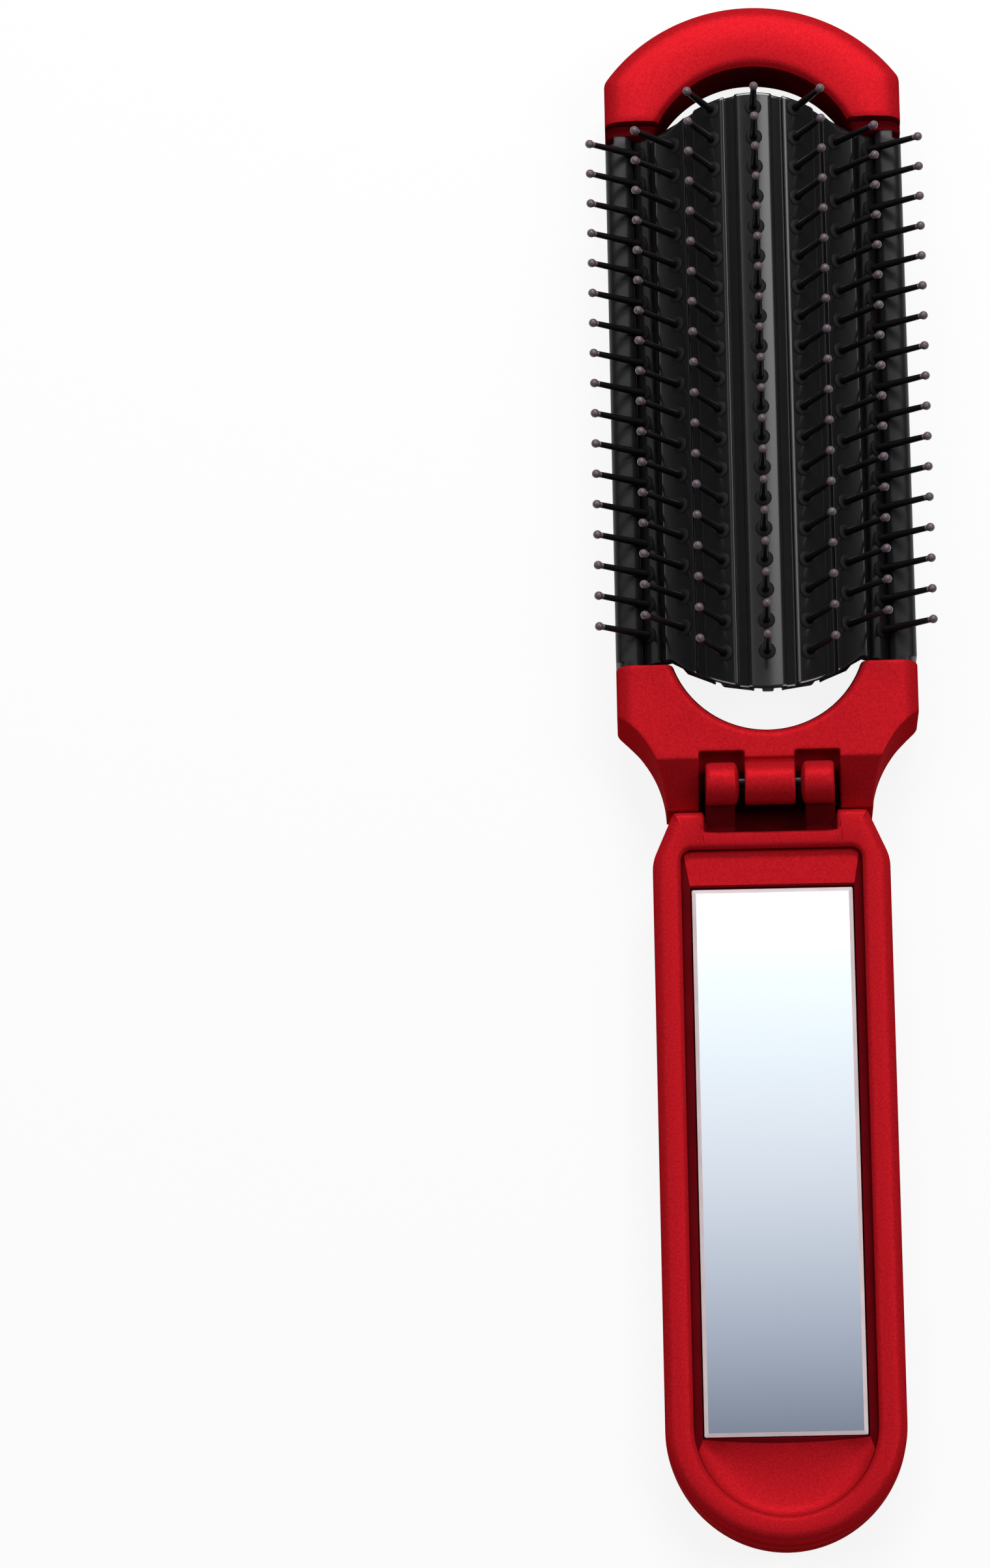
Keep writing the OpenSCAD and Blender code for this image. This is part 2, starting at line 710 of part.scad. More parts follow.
// A bar on the right side, or the middle one, with the sockets of its pins
module bar(i) {
    color(soft_black) difference() {
        intersection() {
            union() {
                at_row(i) along_y(pad_low_y, pad_top_y) {
                    if (is_centre(i)) centre_section();
                    else if (i == rows_side) outer_section();
                    else side_section();
                }
                if (i == rows_side) y_rod(pad_low_y, pad_top_y, bead_x, bead_z, bead_r);
            }
            linear_extrude(3 * head_h) pad_plan();
            if (i == rows_side) linear_extrude(3 * head_h) side_plan();
        }
        at_row(i) pin_feet(i);
    }
}

// The feet of a row's pins, which sit in the bar
module pin_feet(i) {
    for (k = [0 : pin_count(i) - 1]) {
        translate([0, pin_y(i, k), bar_half_t]) rotate([0, is_centre(i) ? 0 : pin_lean, 0])
            translate([0, 0, -pin_seat]) cylinder(h = pin_seat + 1, r = pin_foot_r, $fn = 24);
    }
}

// One pin: a foot in the bar, a slim shaft and a ball on its end
module bristle_pin() {
    translate([0, 0, -pin_seat]) cylinder(h = pin_seat, r = pin_foot_r, $fn = 24);
    cylinder(h = pin_len, r1 = pin_foot_r, r2 = pin_tip_r, $fn = 24);
    translate([0, 0, pin_len]) sphere(ball_r, $fn = 24);
}

// A row of pins
module pins(i) {
    color(black) at_row(i) {
        for (k = [0 : pin_count(i) - 1]) {
            translate([0, pin_y(i, k), bar_half_t])
                rotate([0, is_centre(i) ? 0 : pin_lean, 0]) bristle_pin();
        }
    }
}

module bar_centre() { place() bar(0); }
module bar_right_1() { place() bar(1); }
module bar_right_2() { place() bar(2); }
module bar_right_3() { place() bar(3); }
module bar_left_1() { place() mirror([1, 0, 0]) bar(1); }
module bar_left_2() { place() mirror([1, 0, 0]) bar(2); }
module bar_left_3() { place() mirror([1, 0, 0]) bar(3); }
module pins_centre() { place() pins(0); }
module pins_right_1() { place() pins(1); }
module pins_right_2() { place() pins(2); }
module pins_right_3() { place() pins(3); }
module pins_left_1() { place() mirror([1, 0, 0]) pins(1); }
module pins_left_2() { place() mirror([1, 0, 0]) pins(2); }
module pins_left_3() { place() mirror([1, 0, 0]) pins(3); }

top_cap();
hinge_yoke();
side_rail(-1);  // left_rail
side_rail(1);  // right_rail
hinge_pin();
handle_front();
handle_back();
mirror_glass();
mirror_tape();
bar_centre();
bar_left_1();
bar_left_2();
bar_left_3();
bar_right_1();
bar_right_2();
bar_right_3();
pins_centre();
pins_left_1();
pins_left_2();
pins_left_3();
pins_right_1();
pins_right_2();
pins_right_3();
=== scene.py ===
import math

import bmesh
import bpy
from bpy.props import FloatProperty, FloatVectorProperty, IntProperty, PointerProperty
from mathutils import Matrix, Vector


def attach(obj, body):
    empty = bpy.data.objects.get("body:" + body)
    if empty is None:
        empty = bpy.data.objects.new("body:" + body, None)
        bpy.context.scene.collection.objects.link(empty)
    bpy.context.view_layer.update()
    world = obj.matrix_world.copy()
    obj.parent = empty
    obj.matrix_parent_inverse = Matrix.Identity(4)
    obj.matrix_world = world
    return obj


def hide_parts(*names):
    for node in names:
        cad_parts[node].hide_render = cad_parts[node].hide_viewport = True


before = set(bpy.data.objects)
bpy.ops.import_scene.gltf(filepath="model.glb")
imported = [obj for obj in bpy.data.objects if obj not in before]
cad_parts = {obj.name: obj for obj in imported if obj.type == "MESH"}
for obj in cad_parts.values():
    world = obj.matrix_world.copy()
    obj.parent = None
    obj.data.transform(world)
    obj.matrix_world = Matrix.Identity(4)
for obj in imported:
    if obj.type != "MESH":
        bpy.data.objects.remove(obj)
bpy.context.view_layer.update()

bl_info = {
    "name": "Folding Hairbrush",
    "version": (1, 0, 0),
    "blender": (4, 5, 0),
    "location": "3D View > Sidebar > Hairbrush",
    "description": "Dresses the frame of a folding hairbrush that has a mirror in its handle",
    "category": "Object",
}

MM = 0.001

# Sizes of the frame, in millimetres. x runs across, y from the fold hinge to the tip of the head, z out
# of the bristle side.
HEAD_LEN, HANDLE_LEN = 114.6, 105.8
HALF_W, HEAD_H = 21.0, 14.3
ORIGIN_Y = (HANDLE_LEN - HEAD_LEN) / 2
CAP_R, CAP_FACE, CAP_BORE, CAP_LEN = 25.5, 9.2, 15.0, 19.2
CAP_Y, BORE_Y, LEGS_Y = HEAD_LEN - CAP_R, HEAD_LEN - CAP_FACE - CAP_BORE, HEAD_LEN - CAP_LEN
YOKE_TOP, YOKE_BORE, YOKE_BORE_Y = 17.1, 13.8, 21.4
RAIL_IN, RAIL_LOW, RAIL_H = 17.3, 1.8, 10.4
BEAD_Z, ARCH_RISE, BEAD_REACH, BEAD_R = 9.2, 8.3, 2.57, 1.0
HINGE_Z, KNUCKLE_R = 12.75, 3.0
KNUCKLE_IN, KNUCKLE_OUT = 4.2, 9.0
HANDLE_HALF, HANDLE_H, SEAM_Z = 16.5, 10.5, 5.1
HANDLE_TOP, SLOT_FLOOR, SLOT_HALF, SLANT_LEN = -3.2, -6.2, 9.2, 8.0
END_Y = -(HANDLE_LEN - HANDLE_HALF)
STEP_TOP, STEP_Z, STEP_HALF, STEP_CORNER = -8.7, 8.9, 12.5, 1.5
POCKET_HALF, POCKET_TOP, POCKET_LOW, POCKET_Z = 11.35, -13.85, -90.95, 6.7
MIRROR_HALF, MIRROR_TOP, MIRROR_LOW, MIRROR_Z, MIRROR_T = 11.2, -14.0, -90.8, 8.7, 1.6
BACK_R = 42.0

# The bars' arch runs through the middle of their thickness, from bead to bead
ARCH_R = (RAIL_IN ** 2 + ARCH_RISE ** 2) / (2 * ARCH_RISE)
ARCH_HALF = math.asin(RAIL_IN / ARCH_R)
ARCH_Z = BEAD_Z + ARCH_RISE - ARCH_R
ROW_PITCH = (ARCH_R * ARCH_HALF - BEAD_REACH) / 3
ROW_TURN = ROW_PITCH / ARCH_R
PAD_LOW, PAD_TOP, PAD_END_R = 12.1, 99.5, 18.6
PAD_MID = (LEGS_Y + YOKE_TOP) / 2 + 1.1
SIDE_GAP = 0.5
BAR_HALF_T, BAR_EDGE, LIP_SHARE = 1.0, 0.16, 0.417
PIN_COUNTS = (19, 19, 17, 17)
PIN_PITCH, PIN_LEN, PIN_LEAN = 4.43, 8.7, math.radians(8)
PIN_R, BALL_R, WIRE_R = 0.56, 0.62, 1.1
TAPE_HALF, TAPE_T = 8.2, 0.4


def linear(code):
    """Turns an sRGB hex value into a linear colour."""
    values = [int(code[i:i + 2], 16) / 255 for i in (1, 3, 5)]
    return tuple(v / 12.92 if v <= 0.04045 else ((v + 0.055) / 1.055) ** 2.4 for v in values) + (1.0,)


def mix(a, b, t):
    """The value or point a share t of the way from a to b."""
    if isinstance(a, (int, float)):
        return a + (b - a) * t
    return tuple(p + (q - p) * t for p, q in zip(a, b))


def ease(t):
    """A soft start and stop between 0 and 1."""
    t = min(1.0, max(0.0, t))
    return t * t * (3 - 2 * t)


# ---------------------------------------------------------------- materials

def add_node(tree, kind, settings=None, links=None):
    """Adds one node with its settings, socket values and links."""
    node = tree.nodes.new(kind)
    for key, value in (settings or {}).items():
        if isinstance(key, str) and hasattr(node, key):
            setattr(node, key, value)
        else:
            node.inputs[key].default_value = value
    for key, source in (links or {}).items():
        tree.links.new(source, node.inputs[key])
    return node


def new_material(name):
    """An empty material and its node tree."""
    material = bpy.data.materials.new(name)
    material.use_nodes = True
    material.node_tree.nodes.clear()
    return material, material.node_tree


def finish_material(tree, shader):
    """Sends a shader to the material's output."""
    add_node(tree, "ShaderNodeOutputMaterial", links={"Surface": shader.outputs[0]})


def grain(tree, size_mm, detail=2.0):
    """A noise whose lumps are about size_mm across."""
    place = add_node(tree, "ShaderNodeTexCoord")
    return add_node(tree, "ShaderNodeTexNoise", {"Scale": 1 / (size_mm * MM), "Detail": detail},
                    {"Vector": place.outputs["Object"]})


def blend(tree, source, colours, places=(0.0, 1.0)):
    """A ramp from one colour to another, between two places of the source's value."""
    ramp = add_node(tree, "ShaderNodeValToRGB", links={"Fac": source})
    for stop, colour, place in zip(ramp.color_ramp.elements, colours, places):
        stop.color, stop.position = colour, place
    return ramp


def lacquered_abs(name, colour, roughness, flake_mm=0.3, ripple_mm=2.4):
    """ABS, injection moulded and sprayed with a metallic red lacquer: a satin shell in which fine flakes
    glitter, with the faint ripple of sprayed lacquer."""
    material, tree = new_material(name)
    # Flakes are about 0.05 mm; they are drawn at 0.3 mm so that they show
    flake = grain(tree, flake_mm, 1.0)
    r, g, b = colour[:3]
    dark, bright = (r * 0.88, g * 0.80, b * 0.82, 1), (min(1, r * 1.1), g * 1.22, b * 1.18, 1)
    ramp = blend(tree, flake.outputs["Fac"], (dark, bright), (0.30, 0.70))
    ripple = grain(tree, ripple_mm, 1.0)
    wave = add_node(tree, "ShaderNodeBump", {"Strength": 0.06, "Distance": 0.0001},
                    {"Height": ripple.outputs["Fac"]})
    bump = add_node(tree, "ShaderNodeBump", {"Strength": 0.05, "Distance": 0.00004},
                    {"Height": flake.outputs["Fac"], "Normal": wave.outputs["Normal"]})
    shader = add_node(tree, "ShaderNodeBsdfPrincipled", {
        "Roughness": roughness, "Metallic": 0.3, "IOR": 1.5, "Specular IOR Level": 0.0,
        "Specular Tint": (0.4, 0.06, 0.07, 1),
    }, {"Base Color": ramp.outputs["Color"], "Normal": bump.outputs["Normal"]})
    finish_material(tree, shader)
    return material


def moulded_plastic(name, colour, light, roughness, texture_mm, strength, specular=0.5):
    """Plastic as it comes from a textured mould: an even sheen, broken by the fine grain of the mould."""
    material, tree = new_material(name)
    cloud = grain(tree, texture_mm * 18, 3.0)
    ramp = blend(tree, cloud.outputs["Fac"], (colour, light), (0.35, 0.72))
    fine = grain(tree, texture_mm)
    bump = add_node(tree, "ShaderNodeBump", {"Strength": strength, "Distance": 0.00003},
                    {"Height": fine.outputs["Fac"]})
    shader = add_node(tree, "ShaderNodeBsdfPrincipled", {
        "Roughness": roughness, "IOR": 1.5, "Specular IOR Level": specular,
    }, {"Base Color": ramp.outputs["Color"], "Normal": bump.outputs["Normal"]})
    finish_material(tree, shader)
    return material


def silvered_glass(name, tint):
    """Float glass, silvered on its back: a clear and cool reflection with a trace of haze."""
    material, tree = new_material(name)
    haze = grain(tree, 9.0)
    ramp = blend(tree, haze.outputs["Fac"], (tuple(c * 0.985 for c in tint[:3]) + (1,), tint))
    shader = add_node(tree, "ShaderNodeBsdfPrincipled", {
        "Metallic": 1.0, "Roughness": 0.03, "Coat Weight": 0.3, "Coat Roughness": 0.02,
    }, {"Base Color": ramp.outputs["Color"]})
    finish_material(tree, shader)
    return material


def drawn_steel(name):
    """Steel wire, drawn through a die and near black as painted shade of the gaps between the knuckles: a
    dark sheen with fine lines along its length.
    """
    material, tree = new_material(name)
    place = add_node(tree, "ShaderNodeTexCoord")
    along = add_node(tree, "ShaderNodeMapping", {"Scale": (400.0, 12000.0, 12000.0)},
                     {"Vector": place.outputs["Object"]})
    lines = add_node(tree, "ShaderNodeTexNoise", {"Scale": 1.0, "Detail": 2.0}, {"Vector": along.outputs[0]})
    # near-black steel: painted shade of the gaps between the knuckles
    ramp = blend(tree, lines.outputs["Fac"], (linear("#1E1C1E"), linear("#2C2A2D")))
    bump = add_node(tree, "ShaderNodeBump", {"Strength": 0.1, "Distance": 0.00002},
                    {"Height": lines.outputs["Fac"]})
    shader = add_node(tree, "ShaderNodeBsdfPrincipled", {"Metallic": 1.0, "Roughness": 0.28},
                      {"Base Color": ramp.outputs["Color"], "Normal": bump.outputs["Normal"]})
    finish_material(tree, shader)
    return material


# ---------------------------------------------------------------- forms

class Form:
    """The points and faces of one piece, in millimetres from the fold hinge's axis."""

    def __init__(self):
        self.points, self.faces, self.slots = [], [], []

    def rings(self, rings, ends=(True, True), slot=0, painted_shade_or_matt=lambda j, k: False):
        """Joins closed rings of as many points each, and closes the first and last one. A face takes the
        next slot, a painted shade or a matt finish, where painted_shade_or_matt says so of the numbers of its
        ring and its point."""
        start, count = len(self.points), len(rings[0])
        for ring in rings:
            self.points.extend(ring)
        faces = []
        for j in range(len(rings) - 1):
            for k in range(count):
                a, b = start + j * count + k, start + j * count + (k + 1) % count
                faces.append((a, b, b + count, a + count))
                self.slots.append(slot + bool(painted_shade_or_matt(j, k)))
        if ends[0]:
            faces.append(tuple(start + k for k in reversed(range(count))))
            self.slots.append(slot + bool(painted_shade_or_matt(-1, 0)))
        if ends[1]:
            faces.append(tuple(start + (len(rings) - 1) * count + k for k in range(count)))
            self.slots.append(slot + bool(painted_shade_or_matt(len(rings), 0)))
        self.faces += faces

    def turned(self, profile, place, steps, slot=0):
        """Turns a profile of (radius, height) about an axis. place puts (x, y, height) where it goes."""
        self.rings([[place(r * math.cos(2 * math.pi * k / steps), r * math.sin(2 * math.pi * k / steps), h)
                     for k in range(steps)] for r, h in profile], slot=slot)

    def slab(self, outline, low, high, edge, place, slot=0):
        """An outline drawn out from low to high, its two rims rounded. place puts (u, v, height)."""
        rings = []
        for end, sign in ((low, 1), (high, -1)):
            part = [[place(u, v, end + sign * edge * rise) for u, v in inset(outline, edge * draw)]
                    for rise, draw in quarter(3)]
            rings += part[::sign]
        self.rings(rings, slot=slot)

    def piece(self, name, materials, sharp):
        """Makes the object, in metres in the frame of the CAD."""
        work = bmesh.new()
        verts = [work.verts.new((x * MM, (y + ORIGIN_Y) * MM, z * MM)) for x, y, z in self.points]
        for face, slot in zip(self.faces, self.slots):
            made = work.faces.new([verts[i] for i in face])
            made.material_index = slot
        bmesh.ops.remove_doubles(work, verts=work.verts, dist=2e-7)
        bmesh.ops.dissolve_degenerate(work, edges=work.edges, dist=1e-7)
        bmesh.ops.recalc_face_normals(work, faces=work.faces)
        mesh = bpy.data.meshes.new(name)
        work.to_mesh(mesh)
        work.free()
        return new_piece(name, mesh, materials, sharp)


def new_piece(name, mesh, materials, sharp):
    """Links a mesh as a piece with its materials and smooth shading, except over sharp edges."""
    if mesh.materials:
        mesh.materials.clear()
    for material in materials:
        mesh.materials.append(material)
    mesh.shade_smooth()
    mesh.set_sharp_from_angle(angle=math.radians(sharp))
    made = bpy.data.objects.new(name, mesh)
    bpy.context.scene.collection.objects.link(made)
    return made


def normals(outline):
    """Inward normals of a closed outline, lengthened at corners so that an inset keeps its width."""
    area = sum(a[0] * b[1] - b[0] * a[1] for a, b in zip(outline, outline[1:] + outline[:1]))
    turn = 1 if area > 0 else -1
    found = []
    for i, here in enumerate(outline):
        before, after = outline[i - 1], outline[(i + 1) % len(outline)]
        sides = []
        for p, q in ((before, here), (here, after)):
            dx, dy = q[0] - p[0], q[1] - p[1]
            length = math.hypot(dx, dy) or 1.0
            sides.append((-dy / length * turn, dx / length * turn))
        nx, ny = sides[0][0] + sides[1][0], sides[0][1] + sides[1][1]
        size = nx * nx + ny * ny
        found.append((2 * nx / max(size, 0.5), 2 * ny / max(size, 0.5)))
    return found


def inset(outline, distance):
    """The outline drawn in by a distance."""
    return [(x + nx * distance, y + ny * distance) for (x, y), (nx, ny) in zip(outline, normals(outline))]


def rounded(corners, radius, steps=4):
    """An outline whose corners are rounded. Each corner is (x, y), or (x, y, own radius)."""
    made = []
    for i, corner in enumerate(corners):
        here = Vector(corner[:2])
        before, after = Vector(corners[i - 1][:2]) - here, Vector(corners[(i + 1) % len(corners)][:2]) - here
        want = corner[2] if len(corner) > 2 else radius
        angle = before.angle(after)
        reach = min(want / max(math.tan(angle / 2), 1e-3), 0.45 * before.length, 0.45 * after.length)
        a, b = here + before.normalized() * reach, here + after.normalized() * reach
        for k in range(steps + 1):
            t = k / steps
            point = a * (1 - t) ** 2 + here * 2 * t * (1 - t) + b * t ** 2
            made.append((point.x, point.y))
    return made


def quarter(steps):
    """Steps of a quarter turn, as pairs of (1 - cosine, 1 - sine)."""
    turns = [math.pi / 2 * i / steps for i in range(steps + 1)]
    return [(1 - math.cos(a), 1 - math.sin(a)) for a in turns]


def drawn_in(outline):
    """Gives a function for the outline's point k, drawn in by a distance."""
    inward = normals(outline)
    return lambda k, distance: tuple(p + n * distance for p, n in zip(outline[k], inward[k]))


def line(start, end, count):
    """Points from start up to, and without, end."""
    return [mix(start, end, k / count) for k in range(count)]


def arc(centre, radius, start, end, count):
    """Points on an arc from start up to, and without, end. Angles in degrees."""
    angles = [math.radians(mix(start, end, k / count)) for k in range(count)]
    return [(centre[0] + radius * math.cos(a), centre[1] + radius * math.sin(a)) for a in angles]


def both_sides(half):
    """Closes a right half, which runs from the middle to the middle, with its mirror image."""
    return half + [(-x, y) for x, y in half[-2:0:-1]]


def from_solid(node, name, materials, voxel_mm, passes):
    """A copy of a frame node whose sharp rims are softened, as moulding and lacquer leave them."""
    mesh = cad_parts[node].data.copy()
    work = bmesh.new()
    work.from_mesh(mesh)
    bmesh.ops.remove_doubles(work, verts=work.verts, dist=1e-6)
    work.to_mesh(mesh)
    work.free()
    source = bpy.data.objects.new(name + "_source", mesh)
    bpy.context.scene.collection.objects.link(source)
    cells = source.modifiers.new("cells", "REMESH")
    cells.mode, cells.voxel_size, cells.adaptivity = "VOXEL", voxel_mm * MM, 0.0
    soften = source.modifiers.new("soften", "SMOOTH")
    soften.factor, soften.iterations = 0.5, passes
    graph = bpy.context.evaluated_depsgraph_get()
    made = bpy.data.meshes.new_from_object(source.evaluated_get(graph))
    bpy.data.objects.remove(source)
    made.name = name
    return new_piece(name, made, materials, 60.0)


# ---------------------------------------------------------------- settings

class ShellSettings(bpy.types.PropertyGroup):
    """Sizes and colour of the red shells."""
    lacquer: FloatVectorProperty(name="Lacquer", description="Colour of the red lacquer", subtype="COLOR",
                                 size=3, min=0, max=1, default=linear("#BE1A23")[:3])
    sheen: FloatProperty(name="Roughness", description="Roughness of the lacquer's flakes", default=0.48,
                         min=0, max=1, subtype="FACTOR")
    crown: FloatProperty(name="Crown", description="Height of the cap's domed face, in millimetres",
                         default=0.2, min=0, max=1)
    dish: FloatProperty(name="Thumb dish", description="Depth of the dish below the mirror, in millimetres",
                        default=0.9, min=0, max=2)


class PadSettings(bpy.types.PropertyGroup):
    """Sizes and colours of the bristle pad."""
    plastic: FloatVectorProperty(name="Pad", description="Colour of the pad's plastic", subtype="COLOR",
                                 size=3, min=0, max=1, default=linear("#100E10")[:3])
    # the ball ends' light mauve-grey is dipped enamel and partly a painted highlight
    tip: FloatVectorProperty(name="Ball ends", description="Colour of the pins' dipped ball ends",
                             subtype="COLOR", size=3, min=0, max=1, default=linear("#5E5058")[:3])
    boss: FloatProperty(name="Boss", description="Height of the boss round each pin's foot, in millimetres",
                        default=0.2, min=0.1, max=0.8)
    sides: IntProperty(name="Pin sides", description="Sides of a pin's round form", default=14, min=8, max=32)


class MirrorSettings(bpy.types.PropertyGroup):
    """Sizes and colour of the mirror."""
    tint: FloatVectorProperty(name="Tint", description="Tint of the silvered glass", subtype="COLOR",
                              size=3, min=0, max=1, default=linear("#F4F6F8")[:3])
    bevel: FloatProperty(name="Bevel", description="Width of the ground bevel, in millimetres", default=0.6,
                         min=0.2, max=2)


class StageSettings(bpy.types.PropertyGroup):
    """Camera and light."""
    distance: FloatProperty(name="Distance", description="Distance of the camera", default=1.0, min=0.5,
                            max=4, unit="LENGTH")
    height: FloatProperty(name="Elevation", description="Height of the camera above the horizon",
                          default=math.radians(75.5), min=0.1, max=1.57, subtype="ANGLE")
    roll: FloatProperty(name="Roll", description="Turn of the picture about the line of sight",
                        default=math.radians(0.941), min=-0.5, max=0.5, subtype="ANGLE")
    lens: FloatProperty(name="Lens", description="Focal length, in millimetres", default=164.2, min=20,
                        max=400)
    window: FloatProperty(name="Window", description="Strength of the soft window overhead", default=4.4,
                          min=0, max=12)
    ceiling: FloatProperty(name="Ceiling", description="Strength of the ceiling", default=0.22, min=0, max=1)
    front: FloatProperty(name="Front", description="Strength of the light from the handle's side",
                         default=0.06, min=0, max=1)


# ---------------------------------------------------------------- pieces

def finished(made, name, materials, body, nodes, sharp=35.0):
    """Makes the piece, if it is still a form, and fits it to the frame."""
    if isinstance(made, Form):
        made = made.piece(name, materials, sharp)
    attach(made, body)
    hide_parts(*nodes)


def shell_section(length, top, draw, crown):
    """Section of the cap from its opening (0) to its outer side (length), as (distance, height)."""
    inner_r, outer_r, foot_r, flare_h, flare_w = 1.3, 2.6, 1.6, 4.5, 1.6
    a, b, low, high = draw, length - draw, draw, top - draw
    section = [(a + flare_w, low), (a, flare_h), (a, high - inner_r - crown)]
    section += [(a + inner_r * c, high - crown - inner_r * s) for c, s in quarter(6)[1:]]
    section += [(mix(a + inner_r, b - outer_r, u), high - crown * (2 * u - 1) ** 2)
                for u in [i / 9 for i in range(1, 9)]]
    section += [(b - outer_r * s, high - crown - outer_r * c) for c, s in quarter(6)]
    section += [(b - foot_r * c, low + foot_r * s) for c, s in quarter(6)]
    return section


def cap_form(crown):
    """The arched cap, as a section carried along the opening from leg to leg."""
    low_y, land, land_z = LEGS_Y + 0.1, 1.5, HEAD_H - 1.9
    corner_y = CAP_Y + math.sqrt(CAP_R ** 2 - HALF_W ** 2)
    stations = []

    def bore_angle(y):
        return math.degrees(math.asin((y - BORE_Y) / CAP_BORE))

    def bore(angle):
        return (CAP_BORE * math.cos(math.radians(angle)), BORE_Y + CAP_BORE * math.sin(math.radians(angle)))

    def add(inner, outer, top=HEAD_H, draw=0.0, arch=crown):
        stations.append((inner, outer, top, draw, arch))

    for y, draw, top in ((low_y, 0.4, land_z), (low_y + 0.12, 0.12, land_z), (low_y + 0.4, 0, land_z),
                         (low_y + land - 0.05, 0, land_z), (low_y + land, 0, HEAD_H - 0.5),
                         (low_y + land + 0.15, 0, HEAD_H - 0.15), (low_y + land + 0.5, 0, HEAD_H)):
        add(bore(bore_angle(y)), (HALF_W, y), top, draw, crown if top > land_z else 0.1)
    first_y, first_a = y, bore_angle(y)
    for i in range(1, 11):
        t = i / 10
        y = mix(first_y, corner_y - 0.5, t)
        add(bore(mix(first_a, 43.0, t)), (HALF_W, y))
    add(bore(44.0), (HALF_W - 0.07, corner_y))
    for i in range(27):
        t = i / 26
        b = math.radians(mix(35.6, 90.0, t))
        add(bore(mix(45.0, 90.0, t)), (CAP_R * math.cos(b), CAP_Y + CAP_R * math.sin(b)))
    rings = []
    for side, order in ((1, stations), (-1, stations[-2::-1])):
        for inner, outer, top, draw, arch in order:
            length = math.dist(inner, outer)
            places = [(*mix(inner, outer, t / length), z) for t, z in shell_section(length, top, draw, arch)]
            rings.append([(side * x, y, z) for x, y, z in places])
    form = Form()
    # painted shade: the opening's inner wall, the underside and the legs' low lands take the dark red
    form.rings(rings, painted_shade_or_matt=lambda j, k: k in (0, 1, len(rings[0]) - 1) or not 4 < j < len(rings) - 6)
    return form


def handle_half():
    """Right half of the handle seen from above. Each point is (outer, inner rim, pocket, rounding, spine)."""
    turn, bend = 23.2, 6
    centre = (HANDLE_HALF - bend, HANDLE_TOP - SLANT_LEN)
    meet = (centre[0] + bend * math.cos(math.radians(turn)), centre[1] + bend * math.sin(math.radians(turn)))
    corner = STEP_HALF - STEP_CORNER
    parts = [
        # the slot's floor
        (line((0, SLOT_FLOOR), (8.8, SLOT_FLOOR), 8), line((0, STEP_TOP), (8.9, STEP_TOP), 8),
         line((0, POCKET_TOP), (9.4, POCKET_TOP), 8), 0.5, (-13.0, -13.5)),
        # the slot's side
        ([(9.1, SLOT_FLOOR + 0.1)] + line((SLOT_HALF, SLOT_FLOOR + 0.5), (SLOT_HALF, HANDLE_TOP - 0.4), 5),
         line((8.9, STEP_TOP), (9.8, STEP_TOP), 6), line((9.4, POCKET_TOP), (9.9, POCKET_TOP), 6),
         0.5, (-13.5, -14.0)),
        # the upper edge
        ([(9.32, HANDLE_TOP - 0.12)] + line((9.6, HANDLE_TOP), (13.0, HANDLE_TOP), 6)
         + [(13.4, -3.28)],
         line((9.8, STEP_TOP), (corner, STEP_TOP), 8), line((9.9, POCKET_TOP), (10.9, POCKET_TOP), 8),
         1.0, (-14.0, -14.8)),
        # the slant down to the shoulder
        (line((13.68, -3.5), meet, 9),
         arc((corner, STEP_TOP - STEP_CORNER), STEP_CORNER, 90, 0, 9),
         line((10.9, POCKET_TOP), (POCKET_HALF, POCKET_TOP), 5)
         + line((POCKET_HALF, POCKET_TOP), (POCKET_HALF, POCKET_TOP - 0.8), 4), 1.8, (-14.8, -16.5)),
        # the shoulder
        (arc(centre, bend, turn, 0, 5), line((STEP_HALF, STEP_TOP - STEP_CORNER), (STEP_HALF, centre[1]), 5),
         line((POCKET_HALF, POCKET_TOP - 0.8), (POCKET_HALF, POCKET_TOP - 2.5), 5), 1.8, (-16.5, -18.0)),
        # the long side
        (line((HANDLE_HALF, centre[1]), (HANDLE_HALF, END_Y), 32),
         line((STEP_HALF, centre[1]), (STEP_HALF, END_Y), 32),
         line((POCKET_HALF, POCKET_TOP - 2.5), (POCKET_HALF, END_Y), 32), 1.8, (-18.0, END_Y)),
        # the round end
        (arc((0, END_Y), HANDLE_HALF, 0, -90, 28) + [(0, END_Y - HANDLE_HALF)],
         arc((0, END_Y), STEP_HALF, 0, -90, 28) + [(0, END_Y - STEP_HALF)],
         line((POCKET_HALF, END_Y), (POCKET_HALF, POCKET_LOW), 5)
         + line((POCKET_HALF, POCKET_LOW), (0, POCKET_LOW), 23) + [(0, POCKET_LOW)], 1.8, (END_Y, END_Y)),
    ]
    points = []
    for outer, inner, pocket, radius, spine in parts:
        for k, (o, s, m) in enumerate(zip(outer, inner, pocket)):
            points.append((o, s, m, radius, mix(*spine, k / len(outer))))
    return points


def handle_loops():
    """The handle's outlines as closed loops, with the rounding and spine of each point."""
    half = handle_half()
    loops = [both_sides([p[i] for p in half]) for i in range(3)]
    rest = half + half[-2:0:-1]
    return loops, [p[3] for p in rest], [p[4] for p in rest]


